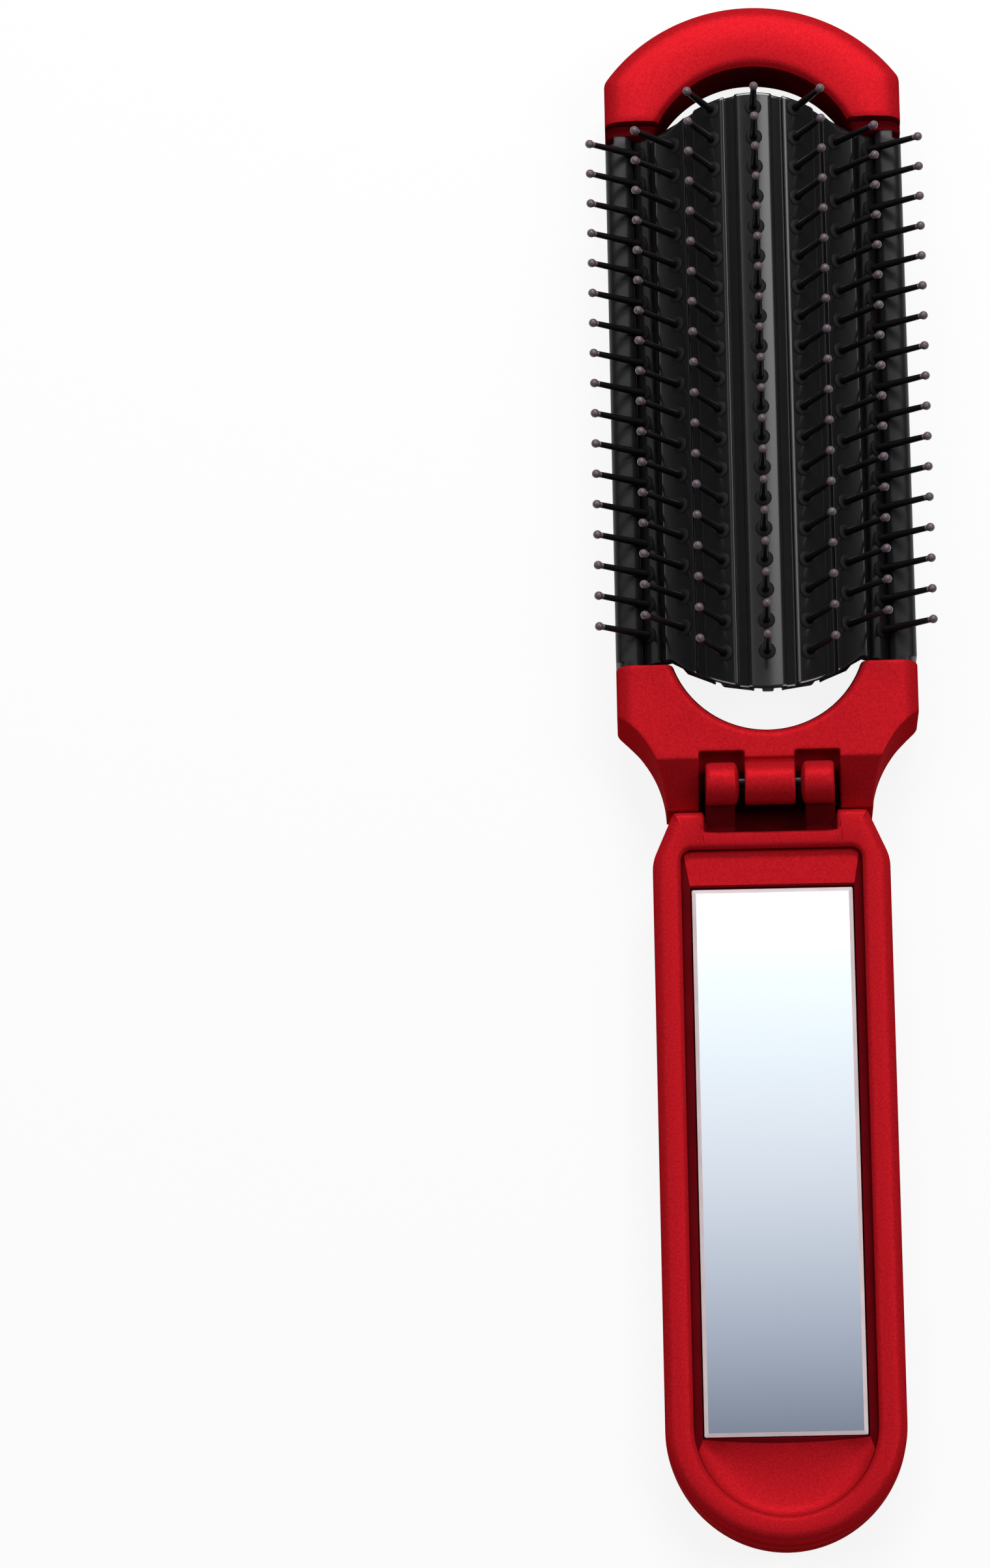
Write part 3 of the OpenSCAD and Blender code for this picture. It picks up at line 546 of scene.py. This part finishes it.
def handle_front_form(dish):
    """The front shell: rounded rim, step, mirror's pocket and thumb dish, and the two outer knuckles."""
    (outer, inner, pocket), radii, _ = handle_loops()
    drawn, count, rings = drawn_in(outer), len(outer), []

    def ring(place):
        rings.append([place(k) for k in range(count)])

    ring(lambda k: (*drawn(k, 0.2), SEAM_Z))
    ring(lambda k: (*drawn(k, 0.05), SEAM_Z + 0.08))
    ring(lambda k: (*outer[k], SEAM_Z + 0.25))
    for c, s in quarter(7):
        ring(lambda k: (*drawn(k, radii[k] * c), HANDLE_H - radii[k] * s))
    # from the crest, a little inside the rounding, down to the inner edge
    crest = [drawn(k, radii[k]) for k in range(count)]
    width = [math.dist(crest[k], inner[k]) for k in range(count)]
    edge = [min(1.1, 0.6 * w) for w in width]
    for c, s in quarter(7)[1:]:
        ring(lambda k: (*mix(crest[k], inner[k], (width[k] - edge[k] * s) / width[k]),
                        HANDLE_H - edge[k] * c))

    def floor_point(k, t):
        x, y = mix(inner[k], pocket[k], t)
        round_end = ease((END_Y - 1.5 - inner[k][1]) / 6)
        return x, y, STEP_Z - dish * round_end * math.sin(math.pi * t) ** 0.9

    wall = len(rings) - 3
    ring(lambda k: (*inner[k], STEP_Z + 0.35))
    ring(lambda k: (*mix(inner[k], pocket[k], 0.02), STEP_Z + 0.1))
    for t in (0.07, 0.16, 0.27, 0.4, 0.55, 0.7, 0.83, 0.93):
        ring(lambda k: floor_point(k, t))
    ring(lambda k: (*mix(inner[k], pocket[k], 0.985), STEP_Z))
    ring(lambda k: (*pocket[k], STEP_Z - 0.12))
    ring(lambda k: (*pocket[k], POCKET_Z))
    form = Form()
    last = len(rings) - 1

    # painted shade: the rim's inner slope, the side ledges beside the mirror and the pocket take the dark red
    def painted_shade_or_matt(j, k):
        side = min(abs(pocket[k][0]), abs(pocket[(k + 1) % count][0])) > POCKET_HALF - 0.01
        return wall <= j < wall + 3 or j > last - 4 or (j >= wall and side)

    form.rings(rings, painted_shade_or_matt=painted_shade_or_matt)
    for side in (1, -1):
        add_outer_knuckle(form, side)
    return form


def add_outer_knuckle(form, side):
    """One outer knuckle of the handle on its arm, with a domed end towards the middle."""
    low = HANDLE_H - 2.0
    outline = rounded([(-8.0, 5.5), (-8.0, low), (-5.2, low), (-2.94, 11.4), (0.2, 12.75), (2.1, 10.7),
                       (-0.6, 8.4), (-3.0, 6.2)], 0.5)
    # the arm and the shelf below it take the dark red of painted shade, where the hinge's slot is dark
    form.slab(outline, KNUCKLE_IN + 0.7, KNUCKLE_OUT, 0.3, lambda u, v, h: (side * h, u, v), slot=1)
    form.slab([(SLOT_FLOOR - 0.3, 5.4), (SLOT_FLOOR - 0.3, 9.0), (-3.6, 9.0), (-3.6, 5.4)], KNUCKLE_OUT - 0.2,
              SLOT_HALF + 0.2, 0.05, lambda u, v, h: (side * h, u, v), slot=1)
    profile = [(0.02, KNUCKLE_OUT - 0.1), (2.5, KNUCKLE_OUT - 0.1), (2.8, KNUCKLE_OUT - 0.2),
               (2.98, KNUCKLE_OUT - 0.5), (KNUCKLE_R, KNUCKLE_OUT - 0.9), (KNUCKLE_R, 5.2), (2.9, 4.85),
               (2.6, 4.62), (2.0, 4.42), (1.2, 4.27), (0.02, KNUCKLE_IN)]
    form.turned(profile, lambda u, v, h: (side * h, u, HINGE_Z + v), 40)


def handle_back_form():
    """The back shell, arched across and rounded along its rim."""
    (outer, _, _), radii, spines = handle_loops()
    drawn, count = drawn_in(outer), len(outer)

    def arch(x):
        return BACK_R - math.sqrt(BACK_R ** 2 - x * x)

    rings = [[(*drawn(k, distance), z) for k in range(count)]
             for distance, z in ((0.2, SEAM_Z), (0.05, SEAM_Z - 0.08), (0.0, SEAM_Z - 0.2))]
    size = [min(2.4, r * 4 / 3) for r in radii]
    rim = [drawn(k, size[k]) for k in range(count)]
    for c, s in quarter(8)[1:]:
        rings.append([(*mix(outer[k], rim[k], c), min(SEAM_Z - 0.2, arch(rim[k][0]) + size[k] * s))
                      for k in range(count)])
    for t in (0.12, 0.26, 0.42, 0.58, 0.74, 0.88, 1.0):
        ring = []
        for k in range(count):
            x, y = mix(rim[k], (0.0, spines[k]), t)
            ring.append((x, y, arch(x)))
        rings.append(ring)
    form = Form()
    form.rings(rings, ends=(True, False))
    return form


def rail_form(side):
    """A side rail: rounded outside, grooved inside, with a notch at each end."""
    low, top, notch, depth = YOKE_TOP - 0.3, LEGS_Y + 0.3, 1.3, 1.2
    high, edge = RAIL_LOW + RAIL_H, 1.3
    bore = 1.05
    groove = [(RAIL_IN + math.sqrt(bore ** 2 - d * d), BEAD_Z + d)
              for d in (-bore, -0.9, -0.6, -0.2, 0.2, 0.6, 0.9, bore)]
    section = [(RAIL_IN, RAIL_LOW + 0.5), (RAIL_IN, BEAD_Z - 1.3)] + groove
    section += [(RAIL_IN, high - 0.95), (RAIL_IN + 0.12, high - 0.62), (RAIL_IN + 0.62, high - 0.12),
                (RAIL_IN + 0.95, high)]
    section += [(HALF_W - edge * s, high - edge * c) for c, s in quarter(6)]
    section += [(HALF_W - edge * c, RAIL_LOW + edge * s) for c, s in quarter(6)]
    section += [(RAIL_IN + 0.5, RAIL_LOW), (RAIL_IN + 0.15, RAIL_LOW + 0.15)]
    steps = [(0, 0.25, depth), (0.08, 0.08, depth), (0.25, 0, depth), (notch - 0.05, 0, depth),
             (notch, 0, 0.3), (notch + 0.12, 0, 0.08), (notch + 0.3, 0, 0), (notch + 0.9, 0, 0)]
    rings = []
    for y, draw, clip in ([(low + y, *rest) for y, *rest in steps]
                          + [(top - y, *rest) for y, *rest in reversed(steps)]):
        ring = inset(section, draw)
        rings.append([(side * min(x, HALF_W - clip), y, z) for x, z in ring])
    form = Form()
    form.rings(rings)
    return form


def row_place(i, side):
    """Gives a function that puts a row's own (across, along, out) on the arch."""
    a = i * ROW_TURN

    def place(u, y, v):
        x = ARCH_R * math.sin(a) + u * math.cos(a) + v * math.sin(a)
        return side * x, y, ARCH_Z + ARCH_R * math.cos(a) - u * math.sin(a) + v * math.cos(a)
    return place


def bar_section(i):
    """Section of a bar in its row's frame. Its outer face follows the arch."""
    under, over, core, inner = (0.6, 0.6, 0.5, 0.6)[i], (0.2, 0.2, 0.2, 0.05)[i], 0.80, 1.856
    # lips and tongues overlap more towards the sides, where less room is needed for the fold
    lip = ROW_PITCH * LIP_SHARE + (0.25, 0.35, 0.65, 0)[i]
    tongue = ROW_PITCH - ROW_PITCH * LIP_SHARE + (0, 0.35, 0.55, 0.6)[i]

    def face(start, end):
        r = ARCH_R + BAR_HALF_T
        return [(u, BAR_HALF_T - (r - math.sqrt(r * r - u * u))) for u in
                [mix(start, end, k / 8) for k in range(9)]]

    if i == 0:
        rest = rounded([(lip, under), (core, under, 0.3), (core, -BAR_HALF_T, 0.3),
                        (-core, -BAR_HALF_T, 0.3), (-core, under, 0.3), (-lip, under)], 0.15)
        return soften_ends(face(-lip, lip)) + rest
    if i < 3:
        rest = rounded([(lip, under), (core, under, 0.3), (core, -BAR_HALF_T, 0.3),
                        (-tongue, -BAR_HALF_T, 0.1), (-tongue, over, 0.15), (-inner, over, 0.1)], 0.15)
        return soften_ends(face(-inner, lip)) + rest
    neck, reach = BEAD_R * 0.55, BEAD_REACH
    bead = [(reach + BEAD_R * math.cos(a), BEAD_R * math.sin(a)) for a in
            [math.radians(mix(146, -146, k / 12)) for k in range(13)]]
    rest = [(reach * 0.62, neck + 0.2)] + bead + [(reach * 0.62, -neck - 0.2)]
    rest += rounded([(reach * 0.42, -BAR_HALF_T, 0.2), (-tongue, -BAR_HALF_T, 0.1),
                     (-tongue, over, 0.15), (-inner, over, 0.1)], 0.15)
    return soften_ends(face(-inner, reach * 0.42)) + rest


def soften_ends(points):
    """Rounds the two ends of a face's line."""
    (u0, v0), (u1, v1), drop = points[0], points[-1], BAR_EDGE
    start = [(u0, v0 - drop), (u0 + drop * 0.3, v0 - drop * 0.3)]
    end = [(u1 - drop * 0.3, v1 - drop * 0.3), (u1, v1 - drop)]
    return start + [(u0 + drop, v0)] + points[1:-1] + [(u1 - drop, v1)] + end


def pad_ends(x, outer):
    """Lowest and highest y of the pad at a distance x from its middle."""
    low_side, top_side = YOKE_TOP + SIDE_GAP, LEGS_Y - SIDE_GAP
    if outer or abs(x) > PAD_END_R - 0.05:
        return low_side, top_side
    drop = PAD_END_R - math.sqrt(PAD_END_R ** 2 - x * x)
    return min(PAD_LOW + drop, low_side), max(PAD_TOP - drop, top_side)


def pin_places(i):
    """Places of a row's pins along the brush."""
    return [PAD_MID + (k - (PIN_COUNTS[i] - 1) / 2) * PIN_PITCH for k in range(PIN_COUNTS[i])]


def pin_place(i, side, y):
    """Gives a function that puts a pin's own (across, along, height) on its bar.

    The pins beside the middle row lean outwards.
    """
    place, lean = row_place(i, side), PIN_LEAN if i else 0.0
    return lambda u, w, h: place(u * math.cos(lean) + h * math.sin(lean), y + w,
                                 BAR_HALF_T - u * math.sin(lean) + h * math.cos(lean))


def bar_form(i, side, boss):
    """One bar of the pad, with a small boss round the foot of each pin."""
    place, section = row_place(i, side), bar_section(i)
    rings = []
    # the rings beside the rounding keep the shading of the long faces flat
    for end, shares in ((0, (0, 0.3, 1.0, 3.0)), (1, (3.0, 1.0, 0.3, 0))):
        for share in shares:
            draw = BAR_EDGE * (1 - math.sqrt(1 - (1 - min(share, 1)) ** 2))
            ring = []
            for (u, v), (du, dv) in zip(section, inset(section, draw)):
                x = place(u, 0, v)[0]
                low, top = pad_ends(x, i == 3)
                y = low + BAR_EDGE * share if end == 0 else top - BAR_EDGE * share
                ring.append(place(du, y, dv))
            rings.append(ring)
    form = Form()
    form.rings(rings, painted_shade_or_matt=lambda j, k: j < 2 or j > len(rings) - 4)
    for y in pin_places(i):
        form.turned([(1.25, -0.3), (1.22, 0.02), (1.1, boss * 0.5), (0.9, boss * 0.85), (0.62, boss),
                     (0.3, boss)], pin_place(i, side, y), 16, slot=1)
    return form


def pins_form(i, side, sides):
    """A row of tapered pins with dipped ball ends."""
    form = Form()
    shank = [(0.3, -1.0), (PIN_R, -0.9), (PIN_R, 0.3), (0.53, 1.6), (0.48, 4.0), (0.42, 7.4),
             (0.41, PIN_LEN - 0.7)]
    ball = [(BALL_R * math.cos(a), PIN_LEN + BALL_R * math.sin(a)) for a in
            [math.radians(d) for d in (-54, -35, -15, 5, 25, 45, 65, 82)]]
    tip = [(0.405, PIN_LEN - 0.75), (0.43, PIN_LEN - 0.62)] + ball + [(0.02, PIN_LEN + BALL_R)]
    for y in pin_places(i):
        form.turned(shank, pin_place(i, side, y), sides)
        form.turned(tip, pin_place(i, side, y), sides, slot=1)
    return form


def mirror_form(bevel):
    """The mirror with a ground bevel along its rim."""
    low = MIRROR_Z - MIRROR_T
    rings = []
    for draw, radius, z in ((0.1, 0.2, low), (0, 0.3, low + 0.1), (0, 0.3, MIRROR_Z - 0.22),
                            (0.05, 0.25, MIRROR_Z - 0.12), (bevel, 0.05, MIRROR_Z)):
        half, bottom, top = MIRROR_HALF - draw, MIRROR_LOW + draw, MIRROR_TOP - draw
        corners = rounded([(-half, bottom), (half, bottom), (half, top), (-half, top)], radius, 3)
        rings.append([(x, y, z) for x, y in corners])
    form = Form()
    # the bevel's ring takes the ground edge's pale colour, partly a painted highlight
    form.rings(rings, painted_shade_or_matt=lambda j, k: j == 3)
    return form


def tape_form():
    """The foam tape behind the mirror."""
    form = Form()
    low, top = MIRROR_LOW + 3, MIRROR_TOP - 3
    outline = rounded([(-TAPE_HALF, low), (TAPE_HALF, low), (TAPE_HALF, top), (-TAPE_HALF, top)], 0.6, 3)
    form.slab(outline, POCKET_Z, POCKET_Z + TAPE_T, 0.1, lambda u, v, h: (u, v, h))
    return form


def hinge_pin_form():
    """The steel pin, with a small chamfer at each end."""
    form = Form()
    reach = KNUCKLE_OUT - 0.5
    form.turned([(0.02, -reach), (0.9, -reach), (WIRE_R, -reach + 0.2), (WIRE_R, reach - 0.2), (0.9, reach),
                 (0.02, reach)], lambda u, v, h: (h, u, HINGE_Z + v), 32)
    return form


# ---------------------------------------------------------------- operators

def reds():
    """The lacquer that all shells share, and a dark red without reflections that paints shade into the
    recesses, inner walls and hinge slot.
    """
    shells, made = bpy.context.scene.brush_shells, bpy.data.materials
    coated = made.get("metallic_lacquer_on_abs") or lacquered_abs(
        "metallic_lacquer_on_abs", tuple(shells.lacquer) + (1,), shells.sheen)
    # painted shade: a dark, matt red with no reflection, for the places that the lamps leave dark
    painted_shade_or_matt = made.get("painted_shade_red_abs") or moulded_plastic(
        "painted_shade_red_abs", linear("#60090F"), linear("#6C0B13"), roughness=0.7, texture_mm=0.3,
        strength=0.3, specular=0.0)
    return [coated, painted_shade_or_matt]


class BRUSH_OT_cap(bpy.types.Operator):
    """Makes the arched cap at the head's tip"""
    bl_idname = "brush.cap"
    bl_label = "Cap"

    def execute(self, context):
        finished(cap_form(context.scene.brush_shells.crown), "cap_shell", reds(), "head",
                 ["top_cap"])
        return {"FINISHED"}


class BRUSH_OT_yoke(bpy.types.Operator):
    """Makes the yoke with the middle knuckle of the hinge"""
    bl_idname = "brush.yoke"
    bl_label = "Yoke"

    def execute(self, context):
        made = from_solid("hinge_yoke", "yoke_shell", reds(), voxel_mm=0.2, passes=5)
        for face in made.data.polygons:
            x, y, z = (c / MM for c in face.center)
            y -= ORIGIN_Y
            # painted shade: the rim of the opening and the hinge's slot take the dark red
            in_opening = math.hypot(x, y - YOKE_BORE_Y) < YOKE_BORE + 1.0 and z < HEAD_H - 0.5
            in_slot = abs(x) < 9.9 and y < 4.0 and z < 9.0
            face.material_index = int(in_opening or in_slot)
        finished(made, "yoke_shell", [], "head", ["hinge_yoke"])
        return {"FINISHED"}


class BRUSH_OT_rails(bpy.types.Operator):
    """Makes the two black side rails"""
    bl_idname = "brush.rails"
    bl_label = "Side rails"

    def execute(self, context):
        plastic = moulded_plastic("smooth_moulded_abs", linear("#121114"), linear("#151417"), roughness=0.4,
                                  texture_mm=0.25, strength=0.08, specular=0.3)
        for side, name in ((-1, "left"), (1, "right")):
            finished(rail_form(side), name + "_side_rail", [plastic], "head", [name + "_rail"])
        return {"FINISHED"}


class BRUSH_OT_handle(bpy.types.Operator):
    """Makes the handle's two shells"""
    bl_idname = "brush.handle"
    bl_label = "Handle"

    def execute(self, context):
        dish = context.scene.brush_shells.dish
        finished(handle_front_form(dish), "handle_front_shell", reds(), "handle",
                 ["handle_front"])
        finished(handle_back_form(), "handle_back_shell", reds(), "handle", ["handle_back"])
        return {"FINISHED"}


class BRUSH_OT_mirror(bpy.types.Operator):
    """Makes the mirror and the tape behind it"""
    bl_idname = "brush.mirror"
    bl_label = "Mirror"

    def execute(self, context):
        mirror = context.scene.brush_mirror
        glass = silvered_glass("silvered_float_glass", tuple(mirror.tint) + (1,))
        # the bevel's pale pinkish grey is ground glass and partly a painted highlight
        ground = moulded_plastic("ground_edge_and_painted_highlight", linear("#D8C4C6"), linear("#E2D2D4"), roughness=0.35,
                                 texture_mm=0.2, strength=0.2)
        finished(mirror_form(mirror.bevel), "mirror_pane", [glass, ground], "handle",
                 ["mirror_glass"], 4.0)
        foam = moulded_plastic("cut_foam_tape", linear("#D8D8D2"), linear("#E4E4DE"), roughness=0.9,
                               texture_mm=0.3, strength=0.5, specular=0.2)
        finished(tape_form(), "mirror_tape_strip", [foam], "handle", ["mirror_tape"])
        return {"FINISHED"}


class BRUSH_OT_hinge(bpy.types.Operator):
    """Makes the steel pin of the fold hinge"""
    bl_idname = "brush.hinge"
    bl_label = "Hinge pin"

    def execute(self, context):
        finished(hinge_pin_form(), "hinge_pin_wire", [drawn_steel("painted_shade_steel_wire")], "handle",
                 ["hinge_pin"])
        return {"FINISHED"}


class BRUSH_OT_pad(bpy.types.Operator):
    """Makes the bars of the bristle pad and their rows of pins"""
    bl_idname = "brush.pad"
    bl_label = "Bristle pad"

    def execute(self, context):
        pad = context.scene.brush_pad
        base = tuple(pad.plastic) + (1,)
        lighter = tuple(min(1, c * 1.3) for c in pad.plastic) + (1,)
        # satin where the mould was polished, and matt on the bars' ends and bosses, where it wasn't
        plastic = moulded_plastic("satin_polypropylene", base, lighter, roughness=0.15, texture_mm=0.3,
                                  strength=0.06, specular=0.6)
        matt = moulded_plastic("matt_polypropylene", base, base, roughness=0.6, texture_mm=0.3,
                               strength=0.06, specular=0.2)
        nylon = moulded_plastic("moulded_nylon", linear("#0C0A0B"), linear("#120F11"), roughness=0.35,
                                texture_mm=0.2, strength=0.1, specular=0.3)
        # dipped enamel, made lighter than the shafts: partly a painted highlight on the ball ends
        dipped = moulded_plastic("ball_enamel_and_painted_highlight", tuple(pad.tip) + (1,),
                                 tuple(min(1, c * 1.2) for c in pad.tip) + (1,), roughness=0.3,
                                 texture_mm=0.2, strength=0.05)
        for i in range(4):
            for side, word in ((1, "right"), (-1, "left")) if i else ((1, "centre"),):
                key = "centre" if i == 0 else "%s_%d" % (word, i)
                finished(bar_form(i, side, pad.boss), "pad_bar_" + key, [plastic, matt], "row_" + key,
                         ["bar_" + key])
                finished(pins_form(i, side, pad.sides), "pad_pins_" + key, [nylon, dipped], "row_" + key,
                         ["pins_" + key])
        return {"FINISHED"}


class BRUSH_OT_stage(bpy.types.Operator):
    """Makes the floor, the lights and the camera"""
    bl_idname = "brush.stage"
    bl_label = "Stage"

    def execute(self, context):
        make_floor()
        make_light(context.scene.brush_stage)
        make_camera(context.scene.brush_stage)
        context.scene.view_settings.view_transform = "Standard"
        return {"FINISHED"}


# ---------------------------------------------------------------- stage

def make_floor():
    """A pale floor that keeps the brush's shadow."""
    half, level = 4.0, -0.0002
    mesh = bpy.data.meshes.new("floor")
    mesh.from_pydata([(-half, -half, level), (half, -half, level), (half, half, level), (-half, half, level)],
                     [], [(0, 1, 2, 3)])
    material, tree = new_material("matt_white_paper")
    path = add_node(tree, "ShaderNodeLightPath")
    seen = add_node(tree, "ShaderNodeMath", {"operation": "MAXIMUM"},
                    {0: path.outputs["Is Camera Ray"], 1: path.outputs["Is Glossy Ray"]})
    seen = add_node(tree, "ShaderNodeMath", {"operation": "MAXIMUM"},
                    {0: seen.outputs[0], 1: path.outputs["Is Transmission Ray"]})
    paper = add_node(tree, "ShaderNodeBsdfDiffuse", {"Color": (0.97, 0.97, 0.97, 1)})
    glow = add_node(tree, "ShaderNodeEmission", {"Color": (1, 1, 1, 1), "Strength": 1.0})
    lifted = add_node(tree, "ShaderNodeMixShader", {"Fac": 0.88}, {1: paper.outputs[0], 2: glow.outputs[0]})
    dim = add_node(tree, "ShaderNodeBsdfDiffuse", {"Color": (0.15, 0.15, 0.15, 1)})
    shader = add_node(tree, "ShaderNodeMixShader",
                      links={"Fac": seen.outputs[0], 1: dim.outputs[0], 2: lifted.outputs[0]})
    finish_material(tree, shader)
    mesh.materials.append(material)
    floor = bpy.data.objects.new("floor", mesh)
    bpy.context.scene.collection.objects.link(floor)


def add_lamp(name, place, aim, size, power):
    """A soft rectangular lamp."""
    data = bpy.data.lights.new(name, "AREA")
    data.shape, data.size, data.size_y = "RECTANGLE", size[0], size[1]
    data.energy = power
    lamp = bpy.data.objects.new(name, data)
    lamp.location = place
    lamp.rotation_mode = "QUATERNION"
    lamp.rotation_quaternion = (Vector(aim) - Vector(place)).to_track_quat("-Z", "Y")
    bpy.context.scene.collection.objects.link(lamp)


def ramp_node(tree, stops, source, low=0.0, high=1.0):
    """A ramp over a value between low and high, from stops of (value, grey or colour)."""
    spread = add_node(tree, "ShaderNodeMapRange", {"From Min": low, "From Max": high}, {"Value": source})
    ramp = add_node(tree, "ShaderNodeValToRGB", links={"Fac": spread.outputs["Result"]})
    elements = ramp.color_ramp.elements
    elements.remove(elements[1])
    for i, (value, colour) in enumerate(stops):
        place = (value - low) / (high - low)
        stop = elements[0] if i == 0 else elements.new(place)
        stop.position = place
        stop.color = (*colour, 1) if isinstance(colour, tuple) else (colour, colour, colour, 1)
    return ramp


def combine(tree, operation, *sources):
    """Puts two or three nodes' colours together by a vector operation."""
    return add_node(tree, "ShaderNodeVectorMath", {"operation": operation},
                    {i: source.outputs[0] for i, source in enumerate(sources)})


def make_light(stage):
    """Grey walls, darker at the handle's side, a dark ceiling with two soft windows in it, and three lamps.
    Each ramp runs over one part of the direction in which a ray leaves."""
    scene = bpy.context.scene
    scene.world = bpy.data.worlds.new("studio")
    scene.world.use_nodes = True
    tree = scene.world.node_tree
    tree.nodes.clear()
    place = add_node(tree, "ShaderNodeTexCoord")
    split = add_node(tree, "ShaderNodeSeparateXYZ", links={"Vector": place.outputs["Generated"]})
    x, y, z = (split.outputs[k] for k in "XYZ")
    # the near window is dim and bluish at its lower edge and even grey at its upper one
    tones = ((0.13, "#23262F"), (0.16, "#323842"), (0.176, "#525760"), (0.2, "#71757A"), (0.224, "#818688"),
             (0.23, "#898989"), (0.25, "#898989"), (0.262, "#000000"))
    along = ramp_node(tree, [(stop, linear(tone)[:3]) for stop, tone in tones], y)
    across = ramp_node(tree, [(-0.3, 0.0), (-0.22, 1.0), (0.22, 1.0), (0.3, 0.0)], x, -0.5, 0.5)
    along_far = ramp_node(tree, [(0.25, 0.0), (0.262, 0.5), (0.277, 0.6), (0.294, 0.85), (0.312, 1.0),
                                 (0.38, 1.0), (0.5, 0.0)], y)
    across_far = ramp_node(tree, [(-0.3, 0.0), (-0.26, 0.26), (-0.19, 0.26), (-0.15, 0.04), (0.05, 0.04),
                                  (0.1, 1.0), (0.26, 1.0), (0.3, 0.0)], x, -0.5, 0.5)
    above = ramp_node(tree, [(0.6, 0.0), (0.7, 1.0)], z)
    near = combine(tree, "MULTIPLY", along, across)
    window = combine(tree, "MULTIPLY_ADD", along_far, across_far, near)
    window = combine(tree, "MULTIPLY", window, above)
    window = add_node(tree, "ShaderNodeVectorMath", {"operation": "SCALE", "Scale": stage.window},
                      {0: window.outputs[0]})
    wall = ramp_node(tree, [(0.0, 1.0), (0.25, 1.0), (0.5, stage.ceiling)], z)
    far = ramp_node(tree, [(-1.0, stage.front), (-0.3, stage.front * 1.4), (0.0, 0.3), (1.0, 0.4)],
                    y, -1.0, 1.0)
    light = combine(tree, "ADD", combine(tree, "MULTIPLY", wall, far), window)
    around = add_node(tree, "ShaderNodeBackground", {"Strength": 1.0}, {"Color": light.outputs[0]})
    add_node(tree, "ShaderNodeOutputWorld", links={"Surface": around.outputs[0]})
    add_lamp("far_lamp", (0.02, 0.4, 0.42), (0, 0.03, 0), (0.4, 0.12), 2.0)
    add_lamp("right_lamp", (0.55, -0.02, 0.9), (0, 0, 0), (0.25, 0.5), 2.6)
    add_lamp("left_lamp", (-0.55, -0.02, 0.9), (0, 0, 0), (0.25, 0.5), 1.7)


def make_camera(stage):
    """A camera above the handle's side. The brush lies to the right of the picture's middle."""
    data = bpy.data.cameras.new("camera")
    data.lens, data.sensor_width = stage.lens, 36.0
    data.clip_start, data.clip_end = 0.05, 20.0
    camera = bpy.data.objects.new("camera", data)
    aim = Vector((-0.03828, -0.00193, 0.006))
    camera.location = aim + Vector((0.0, -math.cos(stage.height), math.sin(stage.height))) * stage.distance
    camera.location.x = -0.018
    back = (camera.location - aim).normalized()
    side = Vector((0.0, 1.0, 0.0)).cross(back).normalized()
    turned = Matrix((side, back.cross(side), back)).transposed().to_4x4()
    turned = turned @ Matrix.Rotation(-stage.roll, 4, "Z")
    camera.rotation_mode = "QUATERNION"
    camera.rotation_quaternion = turned.to_quaternion()
    bpy.context.scene.collection.objects.link(camera)
    bpy.context.scene.camera = camera


class BRUSH_PT_panel(bpy.types.Panel):
    """Lists the pieces of the hairbrush"""
    bl_idname = "BRUSH_PT_panel"
    bl_label = "Folding hairbrush"
    bl_space_type = "VIEW_3D"
    bl_region_type = "UI"
    bl_category = "Hairbrush"

    def draw(self, context):
        layout = self.layout
        for name, group in GROUPS.items():
            box = layout.box()
            for key in group.__annotations__:
                box.prop(getattr(context.scene, name), key)
        for operator in OPERATORS:
            layout.operator(operator.bl_idname)


GROUPS = {"brush_shells": ShellSettings, "brush_pad": PadSettings, "brush_mirror": MirrorSettings,
          "brush_stage": StageSettings}
OPERATORS = (BRUSH_OT_cap, BRUSH_OT_yoke, BRUSH_OT_rails, BRUSH_OT_handle, BRUSH_OT_mirror, BRUSH_OT_hinge,
             BRUSH_OT_pad, BRUSH_OT_stage)


def register():
    """Registers the settings, operators and panel."""
    for group in GROUPS.values():
        bpy.utils.register_class(group)
    for operator in OPERATORS:
        bpy.utils.register_class(operator)
    bpy.utils.register_class(BRUSH_PT_panel)
    for name, group in GROUPS.items():
        setattr(bpy.types.Scene, name, PointerProperty(type=group))


def unregister():
    """Takes them out again."""
    for name in GROUPS:
        delattr(bpy.types.Scene, name)
    bpy.utils.unregister_class(BRUSH_PT_panel)
    for operator in reversed(OPERATORS):
        bpy.utils.unregister_class(operator)
    for group in reversed(list(GROUPS.values())):
        bpy.utils.unregister_class(group)


def main():
    """Makes every piece in turn."""
    register()
    bpy.ops.brush.cap()
    bpy.ops.brush.yoke()
    bpy.ops.brush.rails()
    bpy.ops.brush.handle()
    bpy.ops.brush.mirror()
    bpy.ops.brush.hinge()
    bpy.ops.brush.pad()
    bpy.ops.brush.stage()


if __name__ == "__main__":
    main()
